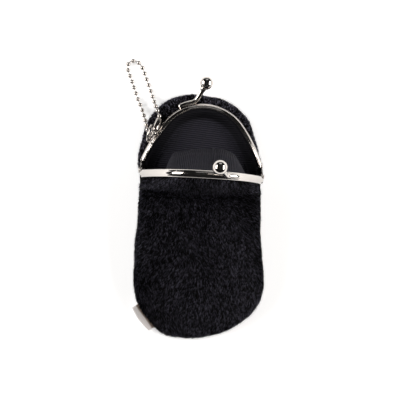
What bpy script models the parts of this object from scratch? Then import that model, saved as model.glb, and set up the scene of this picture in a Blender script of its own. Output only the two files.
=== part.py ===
"""Clasp purse, lying open on its back: plush bag, lining, two-part ball clasp frame and a ball chain.

Metres, +Z up. The origin is on the surface that the purse lies on, below the middle of the frame's
hinge line. The hinge line runs along X, the back half of the frame lies flat towards +Y and the
front half stands up. A half's own coordinates are u along the hinge line, v away from the hinge
line and w towards the other half.
"""

import math

import bmesh
import bpy
from mathutils import Vector

# Arch that both frame halves share, measured on its outer rim
ARCH_HEIGHT = 0.0344
TOP_RADIUS = 0.0245
TOP_ANGLE = math.radians(53.0)
SIDE_RADIUS = 0.0750
CHANNEL_START = 0.0050

# Folded sheet channel, open towards the middle of the arch
CHANNEL_WIDTH = 0.0038
CHANNEL_DEPTH = 0.0029
CHANNEL_SHEET = 0.0005
CHANNEL_CORNER = 0.0008
END_TAPER_LENGTH = 0.0120
END_DEPTH_SHARE = 0.72
CHANNEL_STEPS = 30

# Hinge
HINGE_HEIGHT = 0.0090
FRONT_ANGLE = math.radians(89.0)
EAR_RADIUS = 0.0019
EAR_THICKNESS = 0.0008
EAR_GAP = 0.0003
PIN_RADIUS = 0.0008
PIN_CLEARANCE = 0.0002
HEAD_RADIUS = 0.0014
HEAD_HEIGHT = 0.0005
TAIL_HEIGHT = 0.0003

# Rivet head's dome, from its top out: radius and height as shares of the head's
HEAD_DOME = ((0.0, 1.0), (0.55, 0.88), (0.88, 0.55), (1.0, 0.0))

# Ear tabs: half thickness as a share of the ear's, share of the channel's width that they fill, and
# their half height, their waist's distance from the hinge line and its lower edge as shares of the
# ear's radius
TAB_HALF_THICKNESS = 0.45
TAB_FILL = 0.92
TAB_HALF_HEIGHT = 0.97
TAB_WAIST = 1.1
TAB_WAIST_LOW = 1.45

# Clasp
BALL_RADIUS = 0.0032
BALL_REACH = 0.0448
BALL_LEAN = 0.0011
STEM_RADIUS = 0.0011
STEM_SEAT = 0.0010
STEM_BEND = 0.0016
NECK_RADIUS = 0.0017
NECK_LENGTH = 0.0018
NECK_SINK = 0.0006
NECK_FLARE = 1.03
STEM_IN_BALL = 0.4

# Chain eye, jump ring and ball chain
EYE_RIM_SHARE = 0.118
EYE_RADIUS = 0.00125
EYE_WIRE = 0.0004
EYE_STAND = 0.00085
EYE_DROP = 0.0011
RING_RADIUS = 0.00405
RING_WIRE = 0.00045
RING_TURN = math.radians(17.0)
RING_LEAN = math.radians(11.5)
RING_PHASE = math.radians(-143.0)
BEAD_RADIUS = 0.00115
BEAD_PITCH = 0.0031
BEAD_NECK = 0.00036
BEAD_INSIDE = 1.5
CONNECTOR_LENGTH = 0.0074
CONNECTOR_OFFSET = Vector((-0.00156, -0.00237, 0.00214))
CONNECTOR_WALL = 0.00025
CONNECTOR_GAP = 0.00015
CONNECTOR_SLOT = 0.0009
SLOT_REACH = 0.6

# A bead's outline along the chain: distance from its middle and radius, as shares of BEAD_RADIUS
BEAD_OUTLINE = (
    (-0.96, BEAD_NECK / BEAD_RADIUS),
    (-0.46, 0.95),
    (0.46, 0.95),
    (0.96, BEAD_NECK / BEAD_RADIUS),
)

# Plush bag
BAG_LENGTH = 0.0814
BAG_HALF_WIDTH = 0.0330
BAG_HEIGHT = 0.0215
PLUSH_WALL = 0.0020
PLUSH_CLEARANCE = 0.0004
PLUSH_GUSSET_IN = 0.00075
GUSSET_BULGE = 0.0012
FLAP_REACH = 0.0064
FLAP_LIFT = 0.0005
FLAP_TUCK = 0.0008
FLAP_RISE_SHARE = 0.35
FLAP_ROUND_SHARE = 0.38
FLAP_FOOT_SHARE = 0.6
FOOT_TO_UNDERSIDE = 0.5
FRONT_PUFF = 0.0020
SEAM_SHARE = 0.38

# Lining
LINING_WALL = 0.0009
LINING_GAP = 0.0005
LINING_GUSSET_IN = 0.00195
BILLOW_REACH = 0.0140
BILLOW_HALF_WIDTH = 0.0195
LINING_WALL_STEP = 0.0045
LINING_EDGE_WALL = 0.75
FRONT_HANG_SHARE = 0.6

# Edges of both fabrics inside the channels: how far in, as shares of the channel's depth, over the
# middle of the arch and what its two ends add
EDGE_IN_MIDDLE = 0.45
EDGE_IN_ENDS = 0.30

# Wall beside the side seams of the mouth, from each seam on, as shares of the wall beyond
SIDE_WALLS = (0.35, 0.45, 0.6, 0.8)

# Where the end wall's inner face lies between the last two rings, and its width at the seam
END_STEP = 0.25
END_WIDTH = 0.8

# Roundness of the body's sections: how far the underside and the upper side spread to the seams,
# how flat the underside lies and how full the upper side is
UNDER_SPREAD = 0.6
OVER_SPREAD = 0.75
UNDER_FLATNESS = 1.08
UNDER_FULLNESS = 0.5
OVER_FULLNESS = 0.8

# Label
LABEL_REACH = 0.0028
LABEL_THICKNESS = 0.0007
LABEL_DROOP = 0.0008
LABEL_GAP = 0.0009
LABEL_STEPS = 6

# Air between neighbouring pieces
CLEARANCE = 0.0003

# Largest angles between faces that are shaded as one surface
METAL_SHADE = math.radians(35.0)
CLOTH_SHADE = math.radians(50.0)
ROUND_SHADE = math.radians(70.0)

# Stations on each half of a bag's rings, between the two side points
STATIONS = 15

# Clasp stems, as angles round the arch's top centre and the ball's place along the hinge line
CLASP_COLUMNS = ("far_angle", "near_angle", "ball_u")
CLASP = {
    "back": (math.radians(-28.0), math.radians(-10.5), 0.0),
    "front": (math.radians(37.0), math.radians(23.0), 0.0062),
}

# How far the plush reaches past the back rim, as a share of FLAP_REACH
FLAP_COLUMNS = ("rim_share", "reach")
FLAP = (
    (0.00, 0.20),
    (0.09, 0.55),
    (0.19, 0.85),
    (0.26, 1.00),
    (0.43, 0.80),
    (0.50, 0.68),
    (0.60, 0.52),
    (0.71, 0.45),
    (0.81, 0.25),
    (0.88, 0.08),
    (1.00, 0.00),
)

# Body sections: distance from the hinge line, the two sides and the top, as shares of the bag's
# length, half width and height. The first one is the crease below the front frame.
BODY_COLUMNS = ("along", "left", "right", "top", "wall_share")
BODY = (
    (0.117, 0.900, 0.890, 0.86, 1.00),
    (0.160, 0.890, 0.890, 0.95, 1.00),
    (0.245, 0.890, 0.905, 1.00, 1.00),
    (0.344, 0.893, 0.915, 0.98, 1.00),
    (0.440, 0.920, 0.945, 0.91, 1.00),
    (0.565, 0.920, 0.985, 0.81, 1.00),
    (0.670, 0.905, 0.995, 0.72, 0.90),
    (0.750, 0.875, 0.960, 0.63, 0.80),
    (0.820, 0.820, 0.875, 0.54, 0.70),
    (0.880, 0.735, 0.745, 0.45, 0.60),
    (0.930, 0.605, 0.575, 0.36, 0.50),
    (0.967, 0.460, 0.370, 0.28, 0.40),
    (0.990, 0.365, 0.130, 0.20, 0.30),
)

# Plush rings from the mouth to the crease: how far each has come from the channel to the crease on
# the front side and at the side seams, and its wall as a share of PLUSH_WALL
PLUSH_RING_COLUMNS = ("front_share", "side_share", "wall_share")
PLUSH_RINGS = (
    (0.00, 0.00, 0.35),
    (0.00, 0.08, 0.35),
    (0.00, 0.18, 0.45),
    (0.12, 0.33, 0.60),
    (0.28, 0.48, 0.75),
    (0.48, 0.63, 0.80),
    (0.70, 0.77, 0.90),
    (0.87, 0.90, 1.00),
)

# Lining rings from the mouth to the crease: the back wall's place inward and down from the channel
# as shares of LINING_WALL_STEP, and the front side's drop, set back and billow
LINING_RING_COLUMNS = ("back_in", "back_floor", "to_crease", "front_drop", "front_back", "billow", "side_share")
LINING_RINGS = (
    (0.00, 0.00, 0.00, 0.00, 0.00, 0.00, 0.00),
    (0.00, 0.00, 0.00, 0.00, 0.00, 0.00, 0.10),
    (0.45, 0.22, 0.00, 0.25, 0.00, 0.35, 0.22),
    (0.70, 0.60, 0.00, 0.55, 0.00, 0.80, 0.36),
    (1.00, 1.00, 0.00, 0.85, 0.00, 1.00, 0.52),
    (1.00, 1.00, 0.35, 1.00, 0.05, 0.78, 0.68),
    (1.00, 1.00, 0.70, 1.00, 0.45, 0.30, 0.84),
)
LINING_LAST_ROW = 8
FRONT_LIP_RINGS = 3

# Part of the left outline that holds the label, as shares of the bag's length
LABEL_SPAN = (0.828, 0.940)

# Places beside the back rim: distance along it from the chain eye, distance out from it, and
# height above the floor
CONNECTOR_UPPER = (0.01124, 0.00300, 0.00750)

# Route of the ball chain from the connector's upper end round to its lower end, as such places
CHAIN_ROUTE = (
    (0.01228, 0.00399, 0.0069),
    (0.01301, 0.00560, 0.0065),
    (0.01392, 0.00793, 0.0050),
    (0.01481, 0.01044, 0.0029),
    (0.01562, 0.01305, 0.0015),
    (0.01628, 0.01577, BEAD_RADIUS),
    (0.01742, 0.02172, BEAD_RADIUS),
    (0.01824, 0.02759, BEAD_RADIUS),
    (0.01827, 0.03095, BEAD_RADIUS),
    (0.01763, 0.03341, BEAD_RADIUS),
    (0.01665, 0.03408, BEAD_RADIUS),
    (0.01572, 0.03286, BEAD_RADIUS),
    (0.01517, 0.03030, BEAD_RADIUS),
    (0.01393, 0.02450, BEAD_RADIUS),
    (0.01233, 0.01893, BEAD_RADIUS),
    (0.01121, 0.01580, 0.0013),
    (0.00964, 0.01259, 0.0021),
    (0.00780, 0.00967, 0.0037),
    (0.00596, 0.00713, 0.0058),
    (0.00431, 0.00508, 0.0077),
    (0.00299, 0.00332, 0.0094),
    (0.00240, 0.00158, 0.0106),
    (0.00304, 0.00045, 0.0112),
)

# Values that follow from the sizes above
TOP_CENTRE = Vector((0.0, ARCH_HEIGHT - TOP_RADIUS))
TANGENT_WAY = Vector((math.sin(TOP_ANGLE), math.cos(TOP_ANGLE)))
SIDE_CENTRE = TOP_CENTRE + (TOP_RADIUS - SIDE_RADIUS) * TANGENT_WAY
END_ANGLE = math.acos((CHANNEL_START - SIDE_CENTRE.y) / SIDE_RADIUS)
TOP_RUN = TOP_RADIUS * TOP_ANGLE
HALF_RUN = TOP_RUN + SIDE_RADIUS * (END_ANGLE - TOP_ANGLE)
CHANNEL_MIDDLE = -0.5 * CHANNEL_WIDTH
EAR_U = {"back": SIDE_CENTRE.x + SIDE_RADIUS * math.sin(END_ANGLE)}
EAR_U["front"] = EAR_U["back"] - EAR_THICKNESS - EAR_GAP
CREASE = BODY[0]


def column(columns, row, name):
    """Value of a table row under a named column."""
    return row[columns.index(name)]


def read_table(table, place):
    """Value of a two-column table at a place, straight between its rows."""
    for (low, low_value), (high, high_value) in zip(table, table[1:]):
        if place <= high:
            share = (place - low) / (high - low)
            return low_value + share * (high_value - low_value)
    return table[-1][1]


def rim(share):
    """Point and outward direction on the arch's outer rim, at a share of its length from the left."""
    run = (2.0 * share - 1.0) * HALF_RUN
    side = 1.0 if run >= 0.0 else -1.0
    if abs(run) <= TOP_RUN:
        angle = abs(run) / TOP_RADIUS
        centre = TOP_CENTRE
        radius = TOP_RADIUS
    else:
        angle = TOP_ANGLE + (abs(run) - TOP_RUN) / SIDE_RADIUS
        centre = SIDE_CENTRE
        radius = SIDE_RADIUS
    outward = Vector((math.sin(angle), math.cos(angle)))
    point = centre + radius * outward
    return Vector((side * point.x, point.y)), Vector((side * outward.x, outward.y))


def place(half, u, v, w):
    """World point of a half's own coordinates."""
    if half == "back":
        return Vector((u, v, HINGE_HEIGHT + w))
    cosine = math.cos(FRONT_ANGLE)
    sine = math.sin(FRONT_ANGLE)
    return Vector((u, v * cosine + w * sine, HINGE_HEIGHT + v * sine - w * cosine))


def off_rim(half, share, outward, w):
    """World point at a distance outward from the rim."""
    point, way = rim(share)
    point = point + outward * way
    return place(half, point.x, point.y, w)


def beside_eye(run, outward, height):
    """World point of a place beside the back rim."""
    return off_rim("back", EYE_RIM_SHARE + run / (2.0 * HALF_RUN), outward, height - HINGE_HEIGHT)


def make_collection(name):
    group = bpy.data.collections.new(name)
    bpy.context.scene.collection.children.link(group)
    return group


def make_material(name, colour, roughness, metallic):
    material = bpy.data.materials.new(name)
    material.use_nodes = True
    shader = material.node_tree.nodes["Principled BSDF"]
    shader.inputs["Base Color"].default_value = (*colour, 1.0)
    shader.inputs["Roughness"].default_value = roughness
    shader.inputs["Metallic"].default_value = metallic
    return material


def add_object(name, data, group, material=None):
    thing = bpy.data.objects.new(name, data)
    group.objects.link(thing)
    if material:
        data.materials.append(material)
    return thing


def mesh_from(name, form):
    """Mesh data from a bmesh, which is freed."""
    mesh = bpy.data.meshes.new(name)
    form.to_mesh(mesh)
    form.free()
    return mesh


def loft(rings, close_start, close_end):
    """Bmesh of a skin through closed rings of as many points each."""
    form = bmesh.new()
    rows = [[form.verts.new(point) for point in ring] for ring in rings]
    count = len(rows[0])
    for low, high in zip(rows, rows[1:]):
        for index in range(count):
            after = (index + 1) % count
            form.faces.new((low[index], low[after], high[after], high[index]))
    if close_start:
        form.faces.new(reversed(rows[0]))
    if close_end:
        form.faces.new(rows[-1])
    return form


def solid_loft(name, rings, group, material=None):
    form = loft(rings, True, True)
    bmesh.ops.recalc_face_normals(form, faces=form.faces)
    return add_object(name, mesh_from(name, form), group, material)


def take_active(name, group):
    """The object that an operator just made, renamed and moved to a group."""
    thing = bpy.context.active_object
    thing.name = name
    for owner in list(thing.users_collection):
        owner.objects.unlink(thing)
    group.objects.link(thing)
    return thing


def wire(name, points, radius, group, radii=None, sides_step=2):
    """Round wire along points as a closed mesh; radii are shares of its radius, point by point."""
    curve = bpy.data.curves.new(name, "CURVE")
    curve.dimensions = "3D"
    curve.bevel_depth = radius
    curve.bevel_resolution = sides_step
    curve.use_fill_caps = True
    spline = curve.splines.new("POLY")
    spline.points.add(len(points) - 1)
    for index, point in enumerate(points):
        spline.points[index].co = (*point, 1.0)
        if radii:
            spline.points[index].radius = radii[index]
    return flatten(add_object(name, curve, group), group)


def flatten(thing, group):
    """Plain welded mesh object in place of a curve or of an object with modifiers."""
    bpy.context.view_layer.update()
    graph = bpy.context.evaluated_depsgraph_get()
    mesh = bpy.data.meshes.new_from_object(thing.evaluated_get(graph))
    form = bmesh.new()
    form.from_mesh(mesh)
    bmesh.ops.remove_doubles(form, verts=form.verts, dist=1e-7)
    bmesh.ops.recalc_face_normals(form, faces=form.faces)
    form.to_mesh(mesh)
    form.free()
    name = thing.name
    matrix = thing.matrix_world.copy()
    bpy.data.objects.remove(thing)
    mesh.name = name
    result = add_object(name, mesh, group)
    result.matrix_world = matrix
    return result


def add_boolean(thing, other, operation):
    cut = thing.modifiers.new(other.name, "BOOLEAN")
    cut.operation = operation
    cut.solver = "EXACT"
    cut.object = other


def fuse(name, pieces, group, material):
    """One solid from pieces that reach into each other."""
    whole = pieces[0]
    for piece in pieces[1:]:
        add_boolean(whole, piece, "UNION")
    whole = flatten(whole, group)
    for piece in pieces[1:]:
        bpy.data.objects.remove(piece)
    whole.name = name
    whole.data.materials.clear()
    whole.data.materials.append(material)
    return whole


def shade(thing, angle=METAL_SHADE):
    thing.data.shade_smooth()
    thing.data.set_sharp_from_angle(angle=angle)


def turned(name, profile, steps, group, material):
    """Solid turned round the object's Z axis from (radius, height) points, top to bottom."""
    mesh = bpy.data.meshes.new(name)
    points = [(radius, 0.0, height) for radius, height in profile]
    edges = [(index, index + 1) for index in range(len(points) - 1)]
    mesh.from_pydata(points, edges, [])
    thing = add_object(name, mesh, group, material)
    screw = thing.modifiers.new("turn", "SCREW")
    screw.steps = steps
    screw.render_steps = steps
    screw.use_merge_vertices = True
    screw.merge_threshold = 1e-6
    return thing


def channel_section(depth):
    """U section as (outward, w) points, its web at the rim and its open side towards the arch."""
    half = 0.5 * CHANNEL_WIDTH
    inner = half - CHANNEL_SHEET
    corner = []
    for step in range(3):
        angle = math.radians(45.0 * step)
        corner.append((CHANNEL_CORNER * (math.sin(angle) - 1.0), half - CHANNEL_CORNER * (1.0 - math.cos(angle))))
    upper = [(-depth, half)] + corner
    lower = [(outward, -w) for outward, w in reversed(upper)]
    inside = [
        (-depth, -inner),
        (-CHANNEL_SHEET, -inner),
        (-CHANNEL_SHEET, inner),
        (-depth, inner),
    ]
    return upper + lower + inside


def channel(half, group):
    rings = []
    for step in range(CHANNEL_STEPS + 1):
        share = step / CHANNEL_STEPS
        from_end = 2.0 * HALF_RUN * min(share, 1.0 - share)
        fade = min(1.0, from_end / END_TAPER_LENGTH)
        depth = CHANNEL_DEPTH * (END_DEPTH_SHARE + (1.0 - END_DEPTH_SHARE) * fade)
        section = channel_section(depth)
        rings.append([off_rim(half, share, outward, CHANNEL_MIDDLE + w) for outward, w in section])
    return solid_loft(half + "_channel", rings, group)


def ear(half, side, group):
    """Ear plate from the channel's end to the rivet, with its round end, as two pieces."""
    ear_u = EAR_U[half]
    end_u = EAR_U["back"] - 0.5 * EAR_THICKNESS
    thin = TAB_HALF_THICKNESS * EAR_THICKNESS
    half_height = TAB_HALF_HEIGHT * EAR_RADIUS
    in_channel = (1.0 + TAB_FILL) * CHANNEL_MIDDLE, (1.0 - TAB_FILL) * CHANNEL_MIDDLE
    stations = (
        (CHANNEL_START + EAR_THICKNESS, end_u, *in_channel),
        (TAB_WAIST * EAR_RADIUS, ear_u, -TAB_WAIST_LOW * EAR_RADIUS, half_height),
        (0.0, ear_u, -half_height, half_height),
    )
    rings = []
    for v, u, bottom, top in stations:
        corners = ((u - thin, bottom), (u + thin, bottom), (u + thin, top), (u - thin, top))
        rings.append([place(half, side * across, v, w) for across, w in corners])
    tab = solid_loft("tab", rings, group)
    bpy.ops.mesh.primitive_cylinder_add(
        vertices=20,
        radius=EAR_RADIUS,
        depth=EAR_THICKNESS,
        location=place(half, side * ear_u, 0.0, 0.0),
        rotation=(0.0, 0.5 * math.pi, 0.0),
    )
    return [tab, take_active("ear_end", group)]


def clasp(half, group):
    """Stem soldered along the rim, bent up to its ball."""
    row = CLASP[half]
    middle = CHANNEL_MIDDLE
    seat = TOP_RADIUS + STEM_SEAT
    far = column(CLASP_COLUMNS, row, "far_angle")
    near = column(CLASP_COLUMNS, row, "near_angle")
    ball_u = column(CLASP_COLUMNS, row, "ball_u")

    def on_seat(angle):
        point = TOP_CENTRE + seat * Vector((math.sin(angle), math.cos(angle)))
        return Vector((point.x, point.y, middle))

    start = on_seat(far)
    elbow = on_seat(near)
    ball = Vector((ball_u, BALL_REACH, BALL_LEAN))
    before = elbow + STEM_BEND * (start - elbow).normalized()
    after = elbow + STEM_BEND * (ball - elbow).normalized()
    bend = 0.5 * elbow + 0.25 * (before + after)
    neck = ball + (1.0 - STEM_IN_BALL) * BALL_RADIUS * (elbow - ball).normalized()
    route = [start, 0.5 * (start + before), before, bend, after, neck]
    stem = wire("stem", [place(half, *point) for point in route], STEM_RADIUS, group)

    centre = place(half, *ball)
    bpy.ops.mesh.primitive_uv_sphere_add(segments=14, ring_count=8, radius=BALL_RADIUS, location=centre)
    knob = take_active("knob", group)

    down = (place(half, *elbow) - centre).normalized()
    collar_middle = centre + (BALL_RADIUS + 0.5 * NECK_LENGTH - NECK_SINK) * down
    bpy.ops.mesh.primitive_cone_add(
        vertices=12,
        radius1=NECK_RADIUS,
        radius2=NECK_FLARE * STEM_RADIUS,
        depth=NECK_LENGTH,
        location=collar_middle,
        rotation=down.to_track_quat("Z", "Y").to_euler(),
    )
    collar = take_active("collar", group)
    return [stem, collar, knob]


def ring_axes():
    """Directions of the jump ring's long way as seen from above, and of its standing way."""
    outward = rim(EYE_RIM_SHARE)[1]
    turn = math.atan2(-outward.x, outward.y) + RING_TURN
    along = Vector((math.cos(turn), math.sin(turn), 0.0))
    across = Vector((-along.y, along.x, 0.0))
    up = math.sin(RING_LEAN) * across + math.cos(RING_LEAN) * Vector((0.0, 0.0, 1.0))
    return along, up


def eye_place():
    """Centre of the chain eye and the way that the ring's wire runs through it."""
    along, up = ring_axes()
    centre = off_rim("back", EYE_RIM_SHARE, EYE_STAND, -EYE_DROP)
    way = -math.sin(RING_PHASE) * along + math.cos(RING_PHASE) * up
    return centre, way


def torus(name, centre, axis, radius, wire_radius, steps, sides, group):
    bpy.ops.mesh.primitive_torus_add(
        major_segments=steps,
        minor_segments=sides,
        major_radius=radius,
        minor_radius=wire_radius,
        location=centre,
        rotation=axis.to_track_quat("Z", "Y").to_euler(),
    )
    return take_active(name, group)


def pin_stack():
    """Where a rivet's shank starts and ends along the hinge line."""
    inner = EAR_U["front"] - 0.5 * EAR_THICKNESS - CLEARANCE
    outer = EAR_U["back"] + 0.5 * EAR_THICKNESS + CLEARANCE
    return inner, outer


def hole_cutter(side, group):
    inner, outer = pin_stack()
    bpy.ops.mesh.primitive_cylinder_add(
        vertices=16,
        radius=PIN_RADIUS + PIN_CLEARANCE,
        depth=2.0 * (outer - inner),
        location=(side * 0.5 * (inner + outer), 0.0, HINGE_HEIGHT),
        rotation=(0.0, 0.5 * math.pi, 0.0),
    )
    cutter = take_active("rivet_hole_left" if side < 0 else "rivet_hole_right", group)
    cutter.hide_render = True
    cutter.display_type = "WIRE"
    return cutter


def frame_half(half, cutters, group, material):
    pieces = [channel(half, group)]
    for side in (-1.0, 1.0):
        pieces += ear(half, side, group)
    pieces += clasp(half, group)
    if half == "back":
        centre, way = eye_place()
        pieces.append(torus("eye", centre, way, EYE_RADIUS, EYE_WIRE, 14, 6, group))
    frame = fuse(half + "_frame", pieces, group, material)
    for cutter in cutters:
        add_boolean(frame, cutter, "DIFFERENCE")
    shade(frame)
    return frame


def rivet(side, group, material):
    inner, outer = pin_stack()
    half_shank = 0.5 * (outer - inner)
    dome = [(radius * HEAD_RADIUS, half_shank + height * HEAD_HEIGHT) for radius, height in HEAD_DOME]
    profile = dome + [
        (PIN_RADIUS, half_shank),
        (PIN_RADIUS, -half_shank),
        (HEAD_RADIUS, -half_shank),
        (HEAD_RADIUS, -half_shank - TAIL_HEIGHT),
        (0.0, -half_shank - TAIL_HEIGHT),
    ]
    name = "rivet_left" if side < 0 else "rivet_right"
    pin = turned(name, profile, 14, group, material)
    pin.location = (side * 0.5 * (inner + outer), 0.0, HINGE_HEIGHT)
    pin.rotation_euler = (0.0, side * 0.5 * math.pi, 0.0)
    shade(pin)
    return pin


def ring_reach():
    """Way from the eye to the jump ring's centre."""
    along, up = ring_axes()
    return -RING_RADIUS * (math.cos(RING_PHASE) * along + math.sin(RING_PHASE) * up)


def jump_ring(group, material):
    along, up = ring_axes()
    centre = eye_place()[0] + ring_reach()
    ring = torus("jump_ring", centre, along.cross(up), RING_RADIUS, RING_WIRE, 24, 6, group)
    ring.data.materials.append(material)
    shade(ring, ROUND_SHADE)
    return ring


def connector_axis():
    """Connector's upper and lower ends and its direction; the lower end stands off the ring's far side."""
    along, up = ring_axes()
    lower = eye_place()[0] + 2.0 * ring_reach()
    lower += CONNECTOR_OFFSET.x * along + CONNECTOR_OFFSET.y * up + CONNECTOR_OFFSET.z * along.cross(up)
    way = (lower - beside_eye(*CONNECTOR_UPPER)).normalized()
    return lower - CONNECTOR_LENGTH * way, lower, way


def smooth_route(points, steps):
    """Catmull-Rom curve through points, with a number of steps in each stretch."""
    points = [2.0 * points[0] - points[1]] + points + [2.0 * points[-1] - points[-2]]
    route = []
    for before, start, end, after in zip(points, points[1:], points[2:], points[3:]):
        for step in range(steps):
            t = step / steps
            linear = (end - before) * t
            square = (2.0 * before - 5.0 * start + 4.0 * end - after) * t * t
            cube = (3.0 * start - before - 3.0 * end + after) * t ** 3
            route.append(start + 0.5 * (linear + square + cube))
    route.append(points[-2])
    return route


class Measured:
    """A route that is read by the distance along it."""

    def __init__(self, route):
        self.route = route
        self.marks = [0.0]
        for start, end in zip(route, route[1:]):
            self.marks.append(self.marks[-1] + (end - start).length)

    def at(self, distance):
        for index in range(1, len(self.marks)):
            if distance <= self.marks[index] or index == len(self.marks) - 1:
                span = self.marks[index] - self.marks[index - 1]
                share = (distance - self.marks[index - 1]) / span
                return self.route[index - 1].lerp(self.route[index], share)
        return self.route[-1]


def ball_chain(group, material):
    upper, lower, way = connector_axis()
    inside = BEAD_INSIDE * BEAD_RADIUS
    points = [upper + inside * way, upper]
    points += [beside_eye(*stop) for stop in CHAIN_ROUTE]
    points += [lower, lower - inside * way]
    measured = Measured(smooth_route(points, 10))
    beads = round(measured.marks[-1] / BEAD_PITCH)
    pitch = measured.marks[-1] / beads
    path = []
    radii = []
    for number in range(beads + 1):
        for along, radius in BEAD_OUTLINE:
            distance = number * pitch + along * BEAD_RADIUS
            if 0.0 <= distance <= measured.marks[-1]:
                point = measured.at(distance)
                point.z = max(point.z, BEAD_RADIUS)
                path.append(point)
                radii.append(radius)
    chain = wire("ball_chain", path, BEAD_RADIUS, group, radii, 3)
    chain.data.materials.append(material)
    shade(chain, CLOTH_SHADE)
    return chain


def chain_connector(group, slots, material):
    """Barrel rolled from sheet, open in a slot along its upper side, with narrowed ends."""
    upper, lower, way = connector_axis()
    bore = BEAD_RADIUS + CONNECTOR_GAP
    outer = bore + CONNECTOR_WALL
    hole = 0.5 * (BEAD_RADIUS + BEAD_NECK) + CONNECTOR_GAP
    half = 0.5 * CONNECTOR_LENGTH
    shoulder = half - 0.5 * BEAD_RADIUS
    profile = (
        (hole, half),
        (hole + CONNECTOR_WALL, half),
        (outer, shoulder),
        (outer, -shoulder),
        (hole + CONNECTOR_WALL, -half),
        (hole, -half),
        (bore, -shoulder),
        (bore, shoulder),
        (hole, half),
    )
    barrel = turned("chain_connector", profile, 12, group, material)
    barrel = flatten(barrel, group)
    middle = 0.5 * (upper + lower)
    turn = way.to_track_quat("Z", "Y")
    barrel.location = middle
    barrel.rotation_euler = turn.to_euler()
    barrel.data.materials.clear()
    barrel.data.materials.append(material)
    overhead = Vector((0.0, 0.0, 1.0))
    overhead = (overhead - overhead.dot(way) * way).normalized()
    across = 0.5 * CONNECTOR_SLOT * way.cross(overhead)
    reach = SLOT_REACH * CONNECTOR_LENGTH * way
    rise = 2.0 * outer * overhead
    rings = []
    for end in (middle - reach, middle + reach):
        rings.append([end - across, end + across, end + across + rise, end - across + rise])
    slot = solid_loft("connector_slot", rings, slots)
    slot.hide_render = True
    slot.display_type = "WIRE"
    add_boolean(barrel, slot, "DIFFERENCE")
    shade(barrel)
    return barrel


def station_shares():
    return [index / (STATIONS - 1) for index in range(STATIONS)]


def from_middle(share):
    """0 over the middle of an arch, rising to 1 at its two ends."""
    return abs(2.0 * share - 1.0) ** 4


def round_off(value, power):
    return math.copysign(abs(value) ** power, value)


def body_ring(row, inset):
    """Closed section of the bag: left side point, underside, right side point, upper side."""
    y = -column(BODY_COLUMNS, row, "along") * BAG_LENGTH
    left = -column(BODY_COLUMNS, row, "left") * BAG_HALF_WIDTH + inset
    right = column(BODY_COLUMNS, row, "right") * BAG_HALF_WIDTH - inset
    top = column(BODY_COLUMNS, row, "top") * BAG_HEIGHT - inset
    middle = SEAM_SHARE * column(BODY_COLUMNS, row, "top") * BAG_HEIGHT
    centre = 0.5 * (left + right)
    half = 0.5 * (right - left)
    under = []
    over = []
    for index in range(1, STATIONS + 1):
        angle = math.pi * index / (STATIONS + 1)
        cosine = math.cos(angle)
        sine = math.sin(angle)
        depth = min(1.0, UNDER_FLATNESS * sine ** UNDER_FULLNESS)
        low = Vector((centre - half * round_off(cosine, UNDER_SPREAD), y, middle - (middle - inset) * depth))
        under.append(low)
        rise = (top - middle) * sine ** OVER_FULLNESS
        over.append(Vector((centre - half * round_off(cosine, OVER_SPREAD), y, middle + rise)))
    first = Vector((left, y, middle))
    last = Vector((right, y, middle))
    return first, under, last, over


def as_ring(first, under, last, over):
    return [first] + under + [last] + over[::-1]


def side_point(start, end, share):
    """Point of the gusset below a rivet, between the mouth and the crease."""
    point = start.lerp(end, share)
    point.x += math.copysign(GUSSET_BULGE * 4.0 * share * (1.0 - share), point.x)
    return point


def edge_inset(share):
    """How far inside the arch's rim a fabric's edge lies in the channel."""
    return CHANNEL_DEPTH * (EDGE_IN_MIDDLE + EDGE_IN_ENDS * abs(2.0 * share - 1.0) ** 6)


def flap_places(share):
    """Plush beside the back half, from its edge in the channel round under the channel to the floor,
    as distances out from the rim and towards the other half."""
    reach = FLAP_REACH * read_table(FLAP, share)
    edge_w = CHANNEL_SHEET + CLEARANCE - CHANNEL_WIDTH
    below_w = -CHANNEL_WIDTH - PLUSH_CLEARANCE
    lip = CHANNEL_DEPTH + PLUSH_CLEARANCE
    return (
        (-edge_inset(share), edge_w),
        (-lip, edge_w),
        (-lip, below_w),
        (0.0, below_w),
        (FLAP_RISE_SHARE * reach, below_w + FLAP_LIFT * reach / FLAP_REACH),
        (reach, below_w - FLAP_ROUND_SHARE * (HINGE_HEIGHT + below_w)),
        (FLAP_FOOT_SHARE * reach - FLAP_TUCK, -HINGE_HEIGHT),
    )


def plush_rings():
    """Outer surface of the plush from the edge inside the channels to the bag's end."""
    first, under, last, over = body_ring(CREASE, 0.0)
    gusset_u = pin_stack()[0] - HEAD_HEIGHT - PLUSH_GUSSET_IN
    starts = [Vector((side * gusset_u, -EAR_RADIUS, HINGE_HEIGHT - EAR_RADIUS)) for side in (-1.0, 1.0)]
    rings = []
    for number, row in enumerate(PLUSH_RINGS):
        middle_way = column(PLUSH_RING_COLUMNS, row, "front_share")
        side_way = column(PLUSH_RING_COLUMNS, row, "side_share")
        back = []
        front = []
        for index, share in enumerate(station_shares()):
            places = flap_places(share)
            if number < len(places):
                back.append(off_rim("back", share, *places[number]))
            else:
                back.append(off_rim("back", share, *places[-1]).lerp(under[index], FOOT_TO_UNDERSIDE))
            if number < FRONT_LIP_RINGS:
                front.append(off_rim("front", share, *places[number]))
            else:
                way = middle_way + from_middle(share) * (side_way - middle_way)
                point = off_rim("front", share, *places[FRONT_LIP_RINGS - 1]).lerp(over[index], way)
                point.y -= FRONT_PUFF * 4.0 * way * (1.0 - way)
                front.append(point)
        sides = [side_point(start, end, side_way) for start, end in zip(starts, (first, last))]
        rings.append(as_ring(sides[0], back, sides[1], front))
    rings += [as_ring(*body_ring(row, 0.0)) for row in BODY]
    walls = [column(PLUSH_RING_COLUMNS, row, "wall_share") for row in PLUSH_RINGS]
    return rings, walls + [column(BODY_COLUMNS, row, "wall_share") for row in BODY]


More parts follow.
